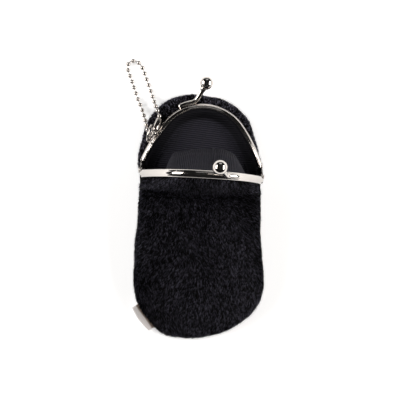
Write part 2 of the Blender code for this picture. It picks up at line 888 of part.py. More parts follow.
def lining_rings():
    """Outer surface of the lining from the edge inside the channels to its end."""
    inset = PLUSH_WALL + LINING_GAP
    first, under, last, over = body_ring(CREASE, inset)
    edge_w = CHANNEL_MIDDLE + CLEARANCE
    floor_w = inset - HINGE_HEIGHT
    lip = CHANNEL_DEPTH + CLEARANCE
    gusset_u = pin_stack()[0] - HEAD_HEIGHT - LINING_GUSSET_IN
    low = EDGE_IN_MIDDLE * EAR_RADIUS
    starts = [Vector((side * gusset_u, -low, HINGE_HEIGHT - low)) for side in (-1.0, 1.0)]
    rings = []
    for number, row in enumerate(LINING_RINGS):
        back_in = column(LINING_RING_COLUMNS, row, "back_in") * LINING_WALL_STEP
        w = edge_w + column(LINING_RING_COLUMNS, row, "back_floor") * (floor_w - edge_w)
        to_crease = column(LINING_RING_COLUMNS, row, "to_crease")
        drop = column(LINING_RING_COLUMNS, row, "front_drop")
        set_back = column(LINING_RING_COLUMNS, row, "front_back")
        billow = column(LINING_RING_COLUMNS, row, "billow")
        side_share = column(LINING_RING_COLUMNS, row, "side_share")
        back = []
        front = []
        for index, share in enumerate(station_shares()):
            inward = edge_inset(share) if number == 0 else lip + back_in
            hang = edge_inset(share) if number == 0 else lip + FRONT_HANG_SHARE * back_in
            back.append(off_rim("back", share, -inward, w).lerp(under[index], to_crease))
            top = off_rim("front", share, -hang, edge_w)
            end = over[index]
            swell = BILLOW_REACH * billow * max(0.0, 1.0 - (top.x / BILLOW_HALF_WIDTH) ** 4)
            down = drop + from_middle(share) * (side_share - drop)
            away = set_back + from_middle(share) * (side_share - set_back)
            point = Vector((
                top.x + down * (end.x - top.x),
                top.y + away * (end.y - top.y) + swell,
                top.z + down * (end.z - top.z),
            ))
            front.append(point)
        sides = [start.lerp(end, side_share) for start, end in zip(starts, (first, last))]
        rings.append(as_ring(sides[0], back, sides[1], front))
    rings += [as_ring(*body_ring(row, inset)) for row in BODY[:LINING_LAST_ROW]]
    rings.append([point - Vector((0.0, LINING_WALL, 0.0)) for point in rings[-1]])
    return rings, 2 * [LINING_EDGE_WALL] + (len(rings) - 2) * [1.0]


def inner_rings(rings, walls, thickness, mouth_rings):
    """Inner surface of a bag, its wall thinned beside the side seams of the mouth."""
    form = loft(rings, False, False)
    form.normal_update()
    form.verts.ensure_lookup_table()
    count = len(rings[0])
    inner = []
    for number, ring in enumerate(rings):
        inside = []
        for index, point in enumerate(ring):
            from_side = index % (STATIONS + 1)
            from_side = min(from_side, STATIONS + 1 - from_side)
            thin = number <= mouth_rings and from_side < len(SIDE_WALLS)
            wall = thickness * walls[number] * (SIDE_WALLS[from_side] if thin else 1.0)
            inside.append(point - wall * form.verts[number * count + index].normal)
        inner.append(inside)
    form.free()
    return inner


def pull_in(row):
    """A row of points whose two ends stand clear of the side seams."""
    first = row[0] + CLEARANCE * (row[1] - row[0]).normalized()
    last = row[-1] + CLEARANCE * (row[-2] - row[-1]).normalized()
    return [first] + row[1:-1] + [last]


def seam_row(row, way):
    """Points at the height of the seam that stand for a closed end's inner surface."""
    centre = 0.5 * (row[0] + row[-1])
    inside = []
    for point in row:
        inside.append(Vector((
            centre.x + END_WIDTH * (point.x - centre.x),
            point.y,
            centre.z + 0.5 * way * CLEARANCE,
        )))
    return inside


def panel(name, outer_rows, inner_rows, group, material):
    """Closed wall between an outer and an inner grid of points."""
    form = bmesh.new()
    outer = [[form.verts.new(point) for point in row] for row in outer_rows]
    inner = [[form.verts.new(point) for point in row] for row in inner_rows]
    last_row = len(outer) - 1
    last_place = len(outer[0]) - 1
    for grid in (outer, inner):
        for low, high in zip(grid, grid[1:]):
            for index in range(last_place):
                form.faces.new((low[index], low[index + 1], high[index + 1], high[index]))
    for number in range(last_row):
        for index in (0, last_place):
            above = number + 1
            form.faces.new((outer[number][index], outer[above][index], inner[above][index], inner[number][index]))
    for number in (0, last_row):
        for index in range(last_place):
            after = index + 1
            form.faces.new((outer[number][index], outer[number][after], inner[number][after], inner[number][index]))
    bmesh.ops.recalc_face_normals(form, faces=form.faces)
    thing = add_object(name, mesh_from(name, form), group, material)
    shade(thing, CLOTH_SHADE)
    return thing


def bag_panels(name, rings, walls, mouth_rings, thickness, group, material):
    """Back and front panel of a bag, with a seam along each side and a closed end."""
    inner = inner_rings(rings, walls, thickness, mouth_rings)
    step = [low.lerp(high, END_STEP) for low, high in zip(rings[-2], rings[-1])]
    rings = rings[:-1] + [step, rings[-1]]
    half = STATIONS + 1
    for side, start, way in (("back", 0, -1.0), ("front", half, 1.0)):
        outer_rows = []
        inner_rows = []
        for number, ring in enumerate(rings):
            around = ring + ring
            row = pull_in(around[start:start + half + 1])
            outer_rows.append(row)
            if number < len(rings) - 2:
                around = inner[number] + inner[number]
                inner_rows.append(pull_in(around[start:start + half + 1]))
            else:
                inner_rows.append(seam_row(row, way))
        panel(name + "_" + side, outer_rows, inner_rows, group, material)


def seam_label(group, material):
    """Folded label that stands out of the seam at the lower left."""
    low, high = LABEL_SPAN
    outline = []
    heights = []
    alongs = [column(BODY_COLUMNS, row, "along") for row in BODY]
    lefts = list(zip(alongs, [column(BODY_COLUMNS, row, "left") for row in BODY]))
    tops = list(zip(alongs, [column(BODY_COLUMNS, row, "top") for row in BODY]))
    for step in range(LABEL_STEPS + 1):
        along = low + (high - low) * step / LABEL_STEPS
        outline.append(Vector((-read_table(lefts, along) * BAG_HALF_WIDTH, -along * BAG_LENGTH)))
        heights.append(SEAM_SHARE * read_table(tops, along) * BAG_HEIGHT)
    run = (outline[-1] - outline[0]).normalized()
    outward = Vector((run.y, -run.x))
    rings = []
    for point, height in zip(outline, heights):
        corners = ((0.0, 0.0), (1.0, -LABEL_DROOP), (1.0, LABEL_THICKNESS - LABEL_DROOP), (0.0, LABEL_THICKNESS))
        ring = []
        for share, rise in corners:
            spot = point + (LABEL_GAP + share * LABEL_REACH) * outward
            ring.append(Vector((spot.x, spot.y, height - 0.5 * LABEL_THICKNESS + rise)))
        rings.append(ring)
    return solid_loft("seam_label", rings, group, material)


def build():
    for old in list(bpy.data.objects):
        bpy.data.objects.remove(old)
    parts = make_collection("clasp_purse")
    cutters = make_collection("cutters")

    plush = make_material("plush", (0.012, 0.012, 0.014), 0.9, 0.0)
    ribbed = make_material("ribbed_cloth", (0.016, 0.016, 0.019), 0.85, 0.0)
    nickel = make_material("nickel", (0.80, 0.77, 0.74), 0.12, 1.0)
    ribbon = make_material("ribbon", (0.62, 0.55, 0.53), 0.8, 0.0)

    bag_panels("plush", *plush_rings(), len(PLUSH_RINGS) + 2, PLUSH_WALL, parts, plush)
    bag_panels("lining", *lining_rings(), len(LINING_RINGS), LINING_WALL, parts, ribbed)
    holes = [hole_cutter(side, cutters) for side in (-1.0, 1.0)]
    for half in ("back", "front"):
        frame_half(half, holes, parts, nickel)
    for side in (-1.0, 1.0):
        rivet(side, parts, nickel)
    jump_ring(parts, nickel)
    ball_chain(parts, nickel)
    chain_connector(parts, cutters, nickel)
    seam_label(parts, ribbon)


build()
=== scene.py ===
"""Looks of the clasp purse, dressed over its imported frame.

Metres, +Z up, in the frame's own coordinates. A half's own coordinates are u along the hinge line,
v away from it and w towards the other half.
"""

import math

import bmesh
import bpy
import numpy as np
from bpy.props import FloatProperty, FloatVectorProperty, IntProperty, PointerProperty
from mathutils import Matrix, Vector, noise


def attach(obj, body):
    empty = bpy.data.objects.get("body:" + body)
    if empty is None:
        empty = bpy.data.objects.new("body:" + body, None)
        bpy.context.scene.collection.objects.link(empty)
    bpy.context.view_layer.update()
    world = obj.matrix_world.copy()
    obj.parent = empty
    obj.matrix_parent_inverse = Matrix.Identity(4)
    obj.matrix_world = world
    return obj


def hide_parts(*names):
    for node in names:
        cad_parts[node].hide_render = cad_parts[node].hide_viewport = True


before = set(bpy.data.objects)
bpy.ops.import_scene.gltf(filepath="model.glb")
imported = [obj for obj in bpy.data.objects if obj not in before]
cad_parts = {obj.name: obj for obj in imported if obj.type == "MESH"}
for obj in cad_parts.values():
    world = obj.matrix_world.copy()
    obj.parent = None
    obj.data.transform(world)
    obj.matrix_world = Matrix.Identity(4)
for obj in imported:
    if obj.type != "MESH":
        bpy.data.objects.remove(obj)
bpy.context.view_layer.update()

bl_info = {
    "name": "Clasp Purse",
    "version": (1, 0, 0),
    "blender": (4, 5, 0),
    "location": "View3D > Sidebar > Clasp Purse",
    "description": "Plush, ribbed lining, nickel clasp frame and ball chain of a small purse",
    "category": "Object",
}

# Arch of both frame halves, on its outer rim
ARCH_HEIGHT = 0.0344
TOP_RADIUS = 0.0245
TOP_ANGLE = math.radians(53.0)
SIDE_RADIUS = 0.0750
CHANNEL_START = 0.0050
CHANNEL_WIDTH = 0.0038
CHANNEL_DEPTH = 0.0029
CHANNEL_SHEET = 0.0005
CHANNEL_CROWN = 0.00012
WEB_CROWN = 0.00032
END_TAPER_LENGTH = 0.0120
END_DEPTH_SHARE = 0.72
CHANNEL_STEPS = 150
FLANGE_STEPS = 8
WEB_STEPS = 4
ARC_STEPS = 6

# Corner radius, upper flange's share of the channel's depth and radius of the flange's rolled lip
CHANNEL_FORM = {"back": (0.0013, 0.66, 0.00045), "front": (0.0009, 1.0, 0.00025)}

# Hinge
HINGE_HEIGHT = 0.0090
FRONT_ANGLE = math.radians(89.0)
EAR_RADIUS = 0.0019
EAR_THICKNESS = 0.0008
EAR_GAP = 0.0003
EAR_STEPS = 14
PIN_RADIUS = 0.0008
HEAD_RADIUS = 0.0014
HEAD_HEIGHT = 0.0005

# Ear plate as (v, w): the edges on both sides of its round end, that end's start and turn, its
# middle, and the bevel as place across the plate and share of the outline
EAR_UPPER = ((CHANNEL_START + 0.0008, -0.00015), (0.0046, -0.0001), (0.0030, 0.0010))
EAR_ARC = (math.radians(62.0), math.radians(232.0))
EAR_LOWER = ((0.0024, -0.0024), (0.0042, -0.0033), (CHANNEL_START + 0.0008, -0.00365))
EAR_MIDDLE = Vector((0.0024, -0.0009))
EAR_BEVEL = ((-0.5, 0.90), (-0.42, 0.97), (-0.3, 1.0), (0.3, 1.0), (0.42, 0.97), (0.5, 0.90))

# Clasp
BALL_RADIUS = 0.0034
BALL_REACH = 0.0448
BALL_LEAN = 0.0011
STEM_RADIUS = 0.00125
STEM_SEAT = 0.0014
STEM_BEND = 0.0022
NECK_RADIUS = 0.0017
NECK_LENGTH = 0.0018
NECK_SINK = 0.0006
POLE_SHARE = 0.004
SEAT_STEPS = 6
BEND_STEPS = 8

# Rounded end of a stem: place past it and radius, as shares of the stem's radius
STEM_CAP = ((0.98, 0.12), (0.85, 0.55), (0.55, 0.86))

# Neck below a ball: radius, its share and the place along the neck's length
NECK_PROFILE = (
    (NECK_RADIUS, 0.98, 0.00),
    (NECK_RADIUS, 1.02, 0.22),
    (NECK_RADIUS, 0.93, 0.45),
    (STEM_RADIUS, 1.12, 0.80),
    (STEM_RADIUS, 1.02, 1.00),
)

# Chain eye, jump ring, ball chain and connector
EYE_RIM_SHARE = 0.118
EYE_RADIUS = 0.00125
EYE_WIRE = 0.0004
EYE_STAND = 0.00085
EYE_DROP = 0.0011
RING_RADIUS = 0.00405
RING_WIRE = 0.00045
RING_TURN = math.radians(17.0)
RING_LEAN = math.radians(11.5)
RING_PHASE = math.radians(-143.0)
CONNECTOR_LENGTH = 0.0074
CONNECTOR_OFFSET = Vector((-0.00156, -0.00237, 0.00214))
CONNECTOR_WALL = 0.00025
CONNECTOR_GAP = 0.00015
CONNECTOR_SLOT = 0.0004
CONNECTOR_STEPS = 24
CHAIN_INSIDE = 1.5
CHAIN_STEPS = 10

# Barrel of the connector: place along it and radius, as shares
CONNECTOR_PROFILE = (
    (0.00, 0.62), (0.02, 0.74), (0.07, 0.90), (0.12, 1.00), (0.50, 1.02),
    (0.88, 1.00), (0.93, 0.90), (0.98, 0.74), (1.00, 0.62),
)

# Bag
BAG_LENGTH = 0.0814
BAG_HALF_WIDTH = 0.0330
BAG_HEIGHT = 0.0215
PLUSH_WALL = 0.0020
PLUSH_CLEARANCE = 0.0004
PLUSH_GUSSET_IN = 0.00075
GUSSET_BULGE = 0.0016
GUSSET_START = 0.12
FLAP_REACH = 0.0064
FLAP_LIFT = 0.0005
PILE_FLOOR = 0.0001
END_BULGE = 0.0014
FLAP_TUCK = 0.0008
FRONT_PUFF = 0.0010
CREASE_SAG = 0.0011
CREASE_RISE_LEFT = 0.0017
CREASE_RISE_RIGHT = 0.0025
SEAM_SHARE = 0.38
LINING_WALL = 0.0009
LINING_GAP = 0.0005
LINING_GUSSET_IN = 0.00195
BILLOW_REACH = 0.0126
BILLOW_BLUR = 0.0007
LINING_WALL_STEP = 0.0045
FRONT_HANG_SHARE = 0.6
EDGE_IN_MIDDLE = 0.45
EDGE_IN_ENDS = 0.30
UNDER_SPREAD = 0.6
OVER_SPREAD = 0.75
UNDER_FLATNESS = 1.08
UNDER_FULLNESS = 0.5
OVER_FULLNESS = 0.8
CLEARANCE = 0.0003
STATIONS = 15
FRONT_LIP_RINGS = 3

# Plush ground: steps from ring to ring, wall, rows that the crease's sag reaches, noise as scale
# and height, and the rings that close the end, as shares
PLUSH_STEPS = 4
SKIN_WALL = 0.0007
CREASE_ROWS = 6.0
LUMPS = ((95.0, 0.0005), (240.0, 0.00022))
END_RINGS = (0.85, 0.6, 0.35, 0.12, 0.01)

# Pile: the noise that turns it as scale, turn and start, how its strands lie, their shortest and
# longest share, how their tone varies by strand and by tuft round its base, and random seeds
SWIRLS = ((48.0, 0.95, Vector((3.1, 0.0, 7.7))), (150.0, 0.55, Vector((0.0, 0.0, 0.0))))
PILE_LAY = {"Lift": 0.75, "Stray": 0.42, "Clump Scale": 1350.0, "Clump Lean": 1.5}
STRAND_SPAN = (0.6, 1.2)
STRAND_TONE = 0.45
TUFT_TONE = 4.5
BASE_TONE = 0.30
STRAY_SEED = 11
TALL_SEED = 23
SHADE_SEED = 37

# Where each area of pile starts: first rows of the ground, split of the front and least heights
FRONT_PILE_ROW = 7
FLAP_PILE_ROW = 11
TUCKED_PILE_ROW = 24
TUCKED_PILE_Y = -0.003
PILE_SPLIT_Y = -0.036
FLAP_PILE_Z = 0.0004
SIDE_PILE_Z = 0.0016
FLAP_PILE_SHARE = 0.65

# Lining panels: steps down and round, wall, slant of the back ribs, the rows over which painted
# shade darkens the back panel into the channel, and the front panel's painted shade
LINING_STEPS_DOWN = 7
LINING_STEPS_ROUND = 8
LINING_SKIN = 0.7 * LINING_WALL
RIB_SLANT = 0.06
PAINTED_SHADE_ROW = 20
PAINTED_SHADE_ROWS = 7
BILLOW_PAINTED_SHADE = 0.66

# Folds of the billow: where down the panel, ripple, and each fold's middle, width and height
FOLD_DROP = 0.26
FOLD_SPREAD = 0.16
RIPPLE = 0.0003
RIPPLE_TURN = 330.0
FOLDS = ((0.0046, 0.0006, -0.0009), (-0.0090, 0.0030, 0.0005))

# Label
LABEL_REACH = 0.0036
LABEL_THICKNESS = 0.0007
LABEL_DROOP = 0.0008
LABEL_GAP = 0.0006
LABEL_SPAN = (0.814, 0.952)
LABEL_SHEET = 0.00022
LABEL_ROOT = 0.0012
LABEL_WAVE = 0.00022
LABEL_STEPS = 12
FOLD_STEPS = 9
RIBBON_STEPS = 24

# Clasp stems: far and near angle round the arch's top centre, and the ball's place along the hinge
CLASP = {
    "back": (math.radians(-28.0), math.radians(-10.5), 0.0),
    "front": (math.radians(37.0), math.radians(23.0), 0.0062),
}

# How far the plush reaches past the back rim: share of the rim, share of FLAP_REACH
FLAP = (
    (0.00, 0.20), (0.09, 0.60), (0.19, 1.04), (0.26, 1.20), (0.43, 0.90), (0.50, 0.73),
    (0.60, 0.68), (0.65, 0.70), (0.714, 0.67), (0.786, 0.56), (0.857, 0.32), (0.93, 0.10),
    (1.00, 0.00),
)

# Body sections: distance from the hinge line, left and right side, top and plush wall, as shares
BODY = (
    (0.117, 0.900, 0.890, 0.86, 1.00),
    (0.160, 0.890, 0.890, 0.95, 1.00),
    (0.245, 0.890, 0.905, 1.00, 1.00),
    (0.344, 0.893, 0.915, 0.98, 1.00),
    (0.440, 0.920, 0.945, 0.91, 1.00),
    (0.565, 0.920, 1.000, 0.81, 1.00),
    (0.670, 0.905, 1.020, 0.72, 0.90),
    (0.750, 0.875, 0.990, 0.63, 0.80),
    (0.820, 0.820, 0.905, 0.54, 0.70),
    (0.880, 0.735, 0.770, 0.45, 0.60),
    (0.930, 0.620, 0.600, 0.36, 0.50),
    (0.967, 0.510, 0.430, 0.28, 0.40),
    (0.990, 0.420, 0.240, 0.20, 0.30),
)

# Plush rings from the mouth to the crease: way to the crease in front and at the side seams, and
# how deep the skin lies below the tips of the pile, as a share
PLUSH_RINGS = (
    (0.00, 0.00, 0.00),
    (0.00, 0.08, 0.00),
    (0.00, 0.18, 0.10),
    (0.12, 0.33, 0.50),
    (0.28, 0.48, 0.80),
    (0.48, 0.63, 1.00),
    (0.70, 0.77, 1.00),
    (0.87, 0.90, 1.00),
)

# Lining rings from the mouth to the crease: back wall inward, back wall down, back way to the
# crease, front drop, front set back, billow, side seam's way to the crease
LINING_RINGS = (
    (0.00, 0.00, 0.00, 0.00, 0.00, 0.00, 0.00),
    (0.00, 0.00, 0.00, 0.00, 0.00, 0.00, 0.10),
    (0.30, 0.35, 0.00, 0.25, 0.00, 0.35, 0.22),
    (0.60, 0.80, 0.00, 0.55, 0.00, 0.80, 0.36),
    (1.00, 1.00, 0.00, 0.85, 0.00, 1.00, 0.52),
    (1.00, 1.00, 0.35, 1.00, 0.05, 0.78, 0.68),
    (1.00, 1.00, 0.70, 1.00, 0.45, 0.30, 0.84),
)
LINING_LAST_ROW = 8

# Billow of the front lining: place along the hinge line and how far it stands out, as a share
BILLOW = (
    (-0.0184, 0.00), (-0.0175, 0.22), (-0.0160, 0.54), (-0.0143, 0.78), (-0.0105, 0.83),
    (-0.0067, 0.88), (-0.0012, 0.97), (0.0026, 1.00), (0.0047, 0.96), (0.0080, 0.97),
    (0.0112, 0.93), (0.0140, 0.86), (0.0160, 0.72), (0.0177, 0.56), (0.0194, 0.38),
    (0.0212, 0.16), (0.0224, 0.00),
)

# Places beside the back rim: distance along it from the chain eye, out from it and above the floor
CONNECTOR_UPPER = (0.01124, 0.00300, 0.00750)
CHAIN_LIE = 0.00117
CHAIN_ROUTE = (
    (0.01228, 0.00399, 0.0069), (0.01301, 0.00560, 0.0065), (0.01392, 0.00793, 0.0050),
    (0.01481, 0.01044, 0.0029), (0.01562, 0.01305, 0.0015), (0.01628, 0.01577, CHAIN_LIE),
    (0.01742, 0.02172, CHAIN_LIE), (0.01824, 0.02759, CHAIN_LIE), (0.01827, 0.03095, CHAIN_LIE),
    (0.01763, 0.03341, CHAIN_LIE), (0.01665, 0.03408, CHAIN_LIE), (0.01572, 0.03286, CHAIN_LIE),
    (0.01517, 0.03030, CHAIN_LIE), (0.01393, 0.02450, CHAIN_LIE), (0.01233, 0.01893, CHAIN_LIE),
    (0.01121, 0.01580, 0.0013), (0.00964, 0.01259, 0.0021), (0.00780, 0.00967, 0.0037),
    (0.00596, 0.00713, 0.0058), (0.00431, 0.00508, 0.0077), (0.00299, 0.00332, 0.0094),
    (0.00240, 0.00158, 0.0106), (0.00304, 0.00045, 0.0112),
)

# Clouds of noise in the finishes: scale, detail and roughness
TUFTS = (900.0, 3.0, 0.7)
SKIN_PATCHES = (60.0, 2.0, 0.5)
PILE_PATCHES = (45.0, 2.0, 0.5)
RIB_WAVER = (140.0, 2.0, 0.5)
LINT = (2600.0, 2.0, 0.6)
SMEAR = (220.0, 3.0, 0.6)
SCUFF = (1500.0, 2.0, 0.7)
BEAD_SMEAR = (700.0, 2.0, 0.6)
SOIL_AND_SHADE = (320.0, 3.0, 0.6)

# Darkest and lightest share of each finish's colour
SKIN_SHADES = (0.2, 1.0)
PILE_SHADES = (0.06, 54.0)
RIB_SHADES = (0.40, 1.80)
PLATE_SHADES = (0.93, 1.0)
BEAD_PAINTED_SHADES = (0.70, 1.0)
RIBBON_SHADES = (0.92, 1.0)

# Bumps: strength and distance
SKIN_BUMP = (0.6, 0.0006)
RIB_BUMP = (1.0, 0.00026)
SCUFF_BUMP = (0.08, 0.00005)
RIBBON_BUMP = (0.3, 0.0001)

# Rest of the finishes: how fast painted light makes the flap's pile lighter, how rare light strands
# are, the ribs' wandering and thread, the lining's deepest painted shade, the scuffs' stretch, and
# the ribbon's pitches and the painted shade of its root in the seam
FLAP_PAINTED_LIGHT = 90.0
PILE_CONTRAST = 3.6
RIB_WAVER_REACH = 0.00018
THREAD_SHARE = 0.45
PAINTED_SHADE_SHARE = 0.35
SCUFF_STRETCH = (1.0, 7.0, 3.0)
WARP_PITCH = 0.00032
WEFT_PITCH = 0.00026
STRIPE_PITCH = 0.0011
ROOT_SHADE_SHARES = (0.26, 0.20, 0.16)

# Stage: half width, half depth and height of the floor and of the card overhead; each light's
# place, width, height, share of the power and colour; the camera's place, aim and upward way
FLOOR = (3.0, 3.0, 0.0)
DARK_CARD = (0.30, 0.60, 0.80)
LIGHTS = (
    ("light_left", (-0.58, 0.06, 0.36), 0.55, 0.28, 1.0, (1.0, 0.98, 0.96)),
    ("light_right", (0.58, 0.02, 0.36), 0.55, 0.30, 1.0, (1.0, 0.97, 0.94)),
    ("light_head", (0.05, 0.75, 0.45), 0.5, 0.3, 0.08, (1.0, 1.0, 1.0)),
)
LIGHT_AIM = Vector((0.0, -0.01, 0.01))
CAMERA_PLACE = (-0.0234, -0.0145)
CAMERA_AIM = Vector((0.0005, -0.0132, 0.0))
CAMERA_UP = Vector((-0.056, 0.998, 0.0))

# Values that follow
TOP_CENTRE = Vector((0.0, ARCH_HEIGHT - TOP_RADIUS))
TOP_WAY = Vector((math.sin(TOP_ANGLE), math.cos(TOP_ANGLE)))
SIDE_CENTRE = TOP_CENTRE + (TOP_RADIUS - SIDE_RADIUS) * TOP_WAY
END_ANGLE = math.acos((CHANNEL_START - SIDE_CENTRE.y) / SIDE_RADIUS)
TOP_RUN = TOP_RADIUS * TOP_ANGLE
HALF_RUN = TOP_RUN + SIDE_RADIUS * (END_ANGLE - TOP_ANGLE)
CHANNEL_MIDDLE = -0.5 * CHANNEL_WIDTH
BACK_EAR = SIDE_CENTRE.x + SIDE_RADIUS * math.sin(END_ANGLE)
FRONT_EAR = BACK_EAR - EAR_THICKNESS - EAR_GAP


# Form of the frame and of the bag


def read_table(table, place):
    """Value of a two-column table at a place, straight between its rows."""
    for (low, low_value), (high, high_value) in zip(table, table[1:]):
        if place <= high:
            return low_value + (high_value - low_value) * (place - low) / (high - low)
    return table[-1][1]


def rim(share):
    """Point and outward direction on the arch's rim, at a share of its length from the left."""
    run = (2.0 * share - 1.0) * HALF_RUN
    side = 1.0 if run >= 0.0 else -1.0
    centre, radius, angle = TOP_CENTRE, TOP_RADIUS, abs(run) / TOP_RADIUS
    if abs(run) > TOP_RUN:
        centre, radius = SIDE_CENTRE, SIDE_RADIUS
        angle = TOP_ANGLE + (abs(run) - TOP_RUN) / SIDE_RADIUS
    outward = Vector((math.sin(angle), math.cos(angle)))
    point = centre + radius * outward
    return Vector((side * point.x, point.y)), Vector((side * outward.x, outward.y))


def place(half, u, v, w):
    """World point of a half's own coordinates."""
    if half == "back":
        return Vector((u, v, HINGE_HEIGHT + w))
    cosine, sine = math.cos(FRONT_ANGLE), math.sin(FRONT_ANGLE)
    return Vector((u, v * cosine + w * sine, HINGE_HEIGHT + v * sine - w * cosine))


def off_rim(half, share, outward, w):
    """World point at a distance outward from the rim."""
    point, way = rim(share)
    point = point + outward * way
    return place(half, point.x, point.y, w)


def beside_eye(run, outward, height):
    """World point of a place beside the back rim."""
    return off_rim("back", EYE_RIM_SHARE + run / (2.0 * HALF_RUN), outward, height - HINGE_HEIGHT)


def from_middle(share):
    """0 over the middle of an arch, rising to 1 at its two ends."""
    return abs(2.0 * share - 1.0) ** 4


def body_ring(row, inset):
    """Left side point, underside, right side point and upper side of one section of the bag."""
    y = -row[0] * BAG_LENGTH
    left = -row[1] * BAG_HALF_WIDTH + inset
    right = row[2] * BAG_HALF_WIDTH - inset
    top = row[3] * BAG_HEIGHT - inset
    middle = SEAM_SHARE * row[3] * BAG_HEIGHT
    centre, half = 0.5 * (left + right), 0.5 * (right - left)
    under, over = [], []
    for index in range(1, STATIONS + 1):
        angle = math.pi * index / (STATIONS + 1)
        cosine, sine = math.cos(angle), math.sin(angle)
        spread = abs(cosine)
        depth = min(1.0, UNDER_FLATNESS * sine ** UNDER_FULLNESS)
        low_x = centre - half * math.copysign(spread ** UNDER_SPREAD, cosine)
        high_x = centre - half * math.copysign(spread ** OVER_SPREAD, cosine)
        under.append(Vector((low_x, y, middle - (middle - inset) * depth)))
        over.append(Vector((high_x, y, middle + (top - middle) * sine ** OVER_FULLNESS)))
    return Vector((left, y, middle)), under, Vector((right, y, middle)), over


def as_ring(first, under, last, over):
    """Closed ring from the left side by way of the underside."""
    return [first] + under + [last] + over[::-1]


def edge_inset(share):
    """How far inside the rim a fabric's edge lies in the channel."""
    return CHANNEL_DEPTH * (EDGE_IN_MIDDLE + EDGE_IN_ENDS * abs(2.0 * share - 1.0) ** 6)


def flap_places(share):
    """Plush beside the back half, as distances out from the rim and towards the other half."""
    reach = FLAP_REACH * read_table(FLAP, share)
    edge_w = CHANNEL_SHEET + CLEARANCE - CHANNEL_WIDTH
    below_w = -CHANNEL_WIDTH - PLUSH_CLEARANCE
    lip = CHANNEL_DEPTH + PLUSH_CLEARANCE
    return (
        (-edge_inset(share), edge_w),
        (-lip, edge_w),
        (-lip, below_w),
        (0.0, below_w),
        (0.35 * reach, below_w + FLAP_LIFT * reach / FLAP_REACH),
        (reach, below_w - 0.38 * (HINGE_HEIGHT + below_w)),
        (0.6 * reach - FLAP_TUCK, -HINGE_HEIGHT),
    )


def gusset_starts(side_in, low):
    """Top points of the two side gussets, just inside the rivets."""
    gusset_u = FRONT_EAR - 0.5 * EAR_THICKNESS - CLEARANCE - HEAD_HEIGHT - side_in
    return [Vector((side * gusset_u, -low, HINGE_HEIGHT - low)) for side in (-1.0, 1.0)]


def plush_rings():
    """Outer surface of the plush from the edge inside the channels to the bag's end."""
    first, under, last, over = body_ring(BODY[0], 0.0)
    starts = gusset_starts(PLUSH_GUSSET_IN, EAR_RADIUS)
    rings = []
    for number, (middle_way, side_way, _) in enumerate(PLUSH_RINGS):
        back, front = [], []
        for index in range(STATIONS):
            share = index / (STATIONS - 1)
            places = flap_places(share)
            if number < len(places):
                back.append(off_rim("back", share, *places[number]))
            else:
                back.append(off_rim("back", share, *places[-1]).lerp(under[index], 0.5))
            if number < FRONT_LIP_RINGS:
                front.append(off_rim("front", share, *places[number]))
            else:
                way = middle_way + from_middle(share) * (side_way - middle_way)
                point = off_rim("front", share, *places[FRONT_LIP_RINGS - 1]).lerp(over[index], way)
                point.y -= FRONT_PUFF * 4.0 * way * (1.0 - way)
                front.append(point)
        sides = []
        for start, end in zip(starts, (first, last)):
            point = start.lerp(end, side_way)
            way = max(0.0, side_way - GUSSET_START) / (1.0 - GUSSET_START)
            point.x += math.copysign(GUSSET_BULGE * 4.0 * way * (1.0 - way), point.x)
            sides.append(point)
        rings.append(as_ring(sides[0], back, sides[1], front))
    return rings + [as_ring(*body_ring(row, 0.0)) for row in BODY]


def lining_rings():
    """Outer surface of the lining from the edge inside the channels to its end."""
    inset = PLUSH_WALL + LINING_GAP
    first, under, last, over = body_ring(BODY[0], inset)
    edge_w = CHANNEL_MIDDLE + CLEARANCE
    floor_w = inset - HINGE_HEIGHT
    lip = CHANNEL_DEPTH + CLEARANCE
    starts = gusset_starts(LINING_GUSSET_IN, EDGE_IN_MIDDLE * EAR_RADIUS)
    rings = []
    for number, row in enumerate(LINING_RINGS):
        back_in, back_floor, to_crease, drop, set_back, _, side_share = row
        back_in *= LINING_WALL_STEP
        w = edge_w + back_floor * (floor_w - edge_w)
        back, front = [], []
        for index in range(STATIONS):
            share = index / (STATIONS - 1)
            inward = edge_inset(share) if number == 0 else lip + back_in
            hang = edge_inset(share) if number == 0 else lip + FRONT_HANG_SHARE * back_in
            back.append(off_rim("back", share, -inward, w).lerp(under[index], to_crease))
            top = off_rim("front", share, -hang, edge_w)
            end = over[index]
            down = drop + from_middle(share) * (side_share - drop)
            away = set_back + from_middle(share) * (side_share - set_back)
            front.append(Vector((
                top.x + down * (end.x - top.x),
                top.y + away * (end.y - top.y),
                top.z + down * (end.z - top.z),
            )))
        sides = [start.lerp(end, side_share) for start, end in zip(starts, (first, last))]
        rings.append(as_ring(sides[0], back, sides[1], front))
    return rings + [as_ring(*body_ring(row, inset)) for row in BODY[:LINING_LAST_ROW]]


def ring_axes():
    """Directions of the jump ring's long way as seen from above, and of its standing way."""
    outward = rim(EYE_RIM_SHARE)[1]
    turn = math.atan2(-outward.x, outward.y) + RING_TURN
    along = Vector((math.cos(turn), math.sin(turn), 0.0))
    across = Vector((-along.y, along.x, 0.0))
    return along, math.sin(RING_LEAN) * across + math.cos(RING_LEAN) * Vector((0.0, 0.0, 1.0))


def eye_place():
    """Centre of the chain eye and the way that the ring's wire runs through it."""
    along, up = ring_axes()
    centre = off_rim("back", EYE_RIM_SHARE, EYE_STAND, -EYE_DROP)
    return centre, -math.sin(RING_PHASE) * along + math.cos(RING_PHASE) * up


def ring_reach():
    """Way from the eye to the jump ring's centre."""
    along, up = ring_axes()
    return -RING_RADIUS * (math.cos(RING_PHASE) * along + math.sin(RING_PHASE) * up)


def connector_axis():
    """Connector's upper and lower ends and its direction."""
    along, up = ring_axes()
    lower = eye_place()[0] + 2.0 * ring_reach()
    lower += CONNECTOR_OFFSET.x * along + CONNECTOR_OFFSET.y * up
    lower += CONNECTOR_OFFSET.z * along.cross(up)
    way = (lower - beside_eye(*CONNECTOR_UPPER)).normalized()
    return lower - CONNECTOR_LENGTH * way, lower, way


# Node trees


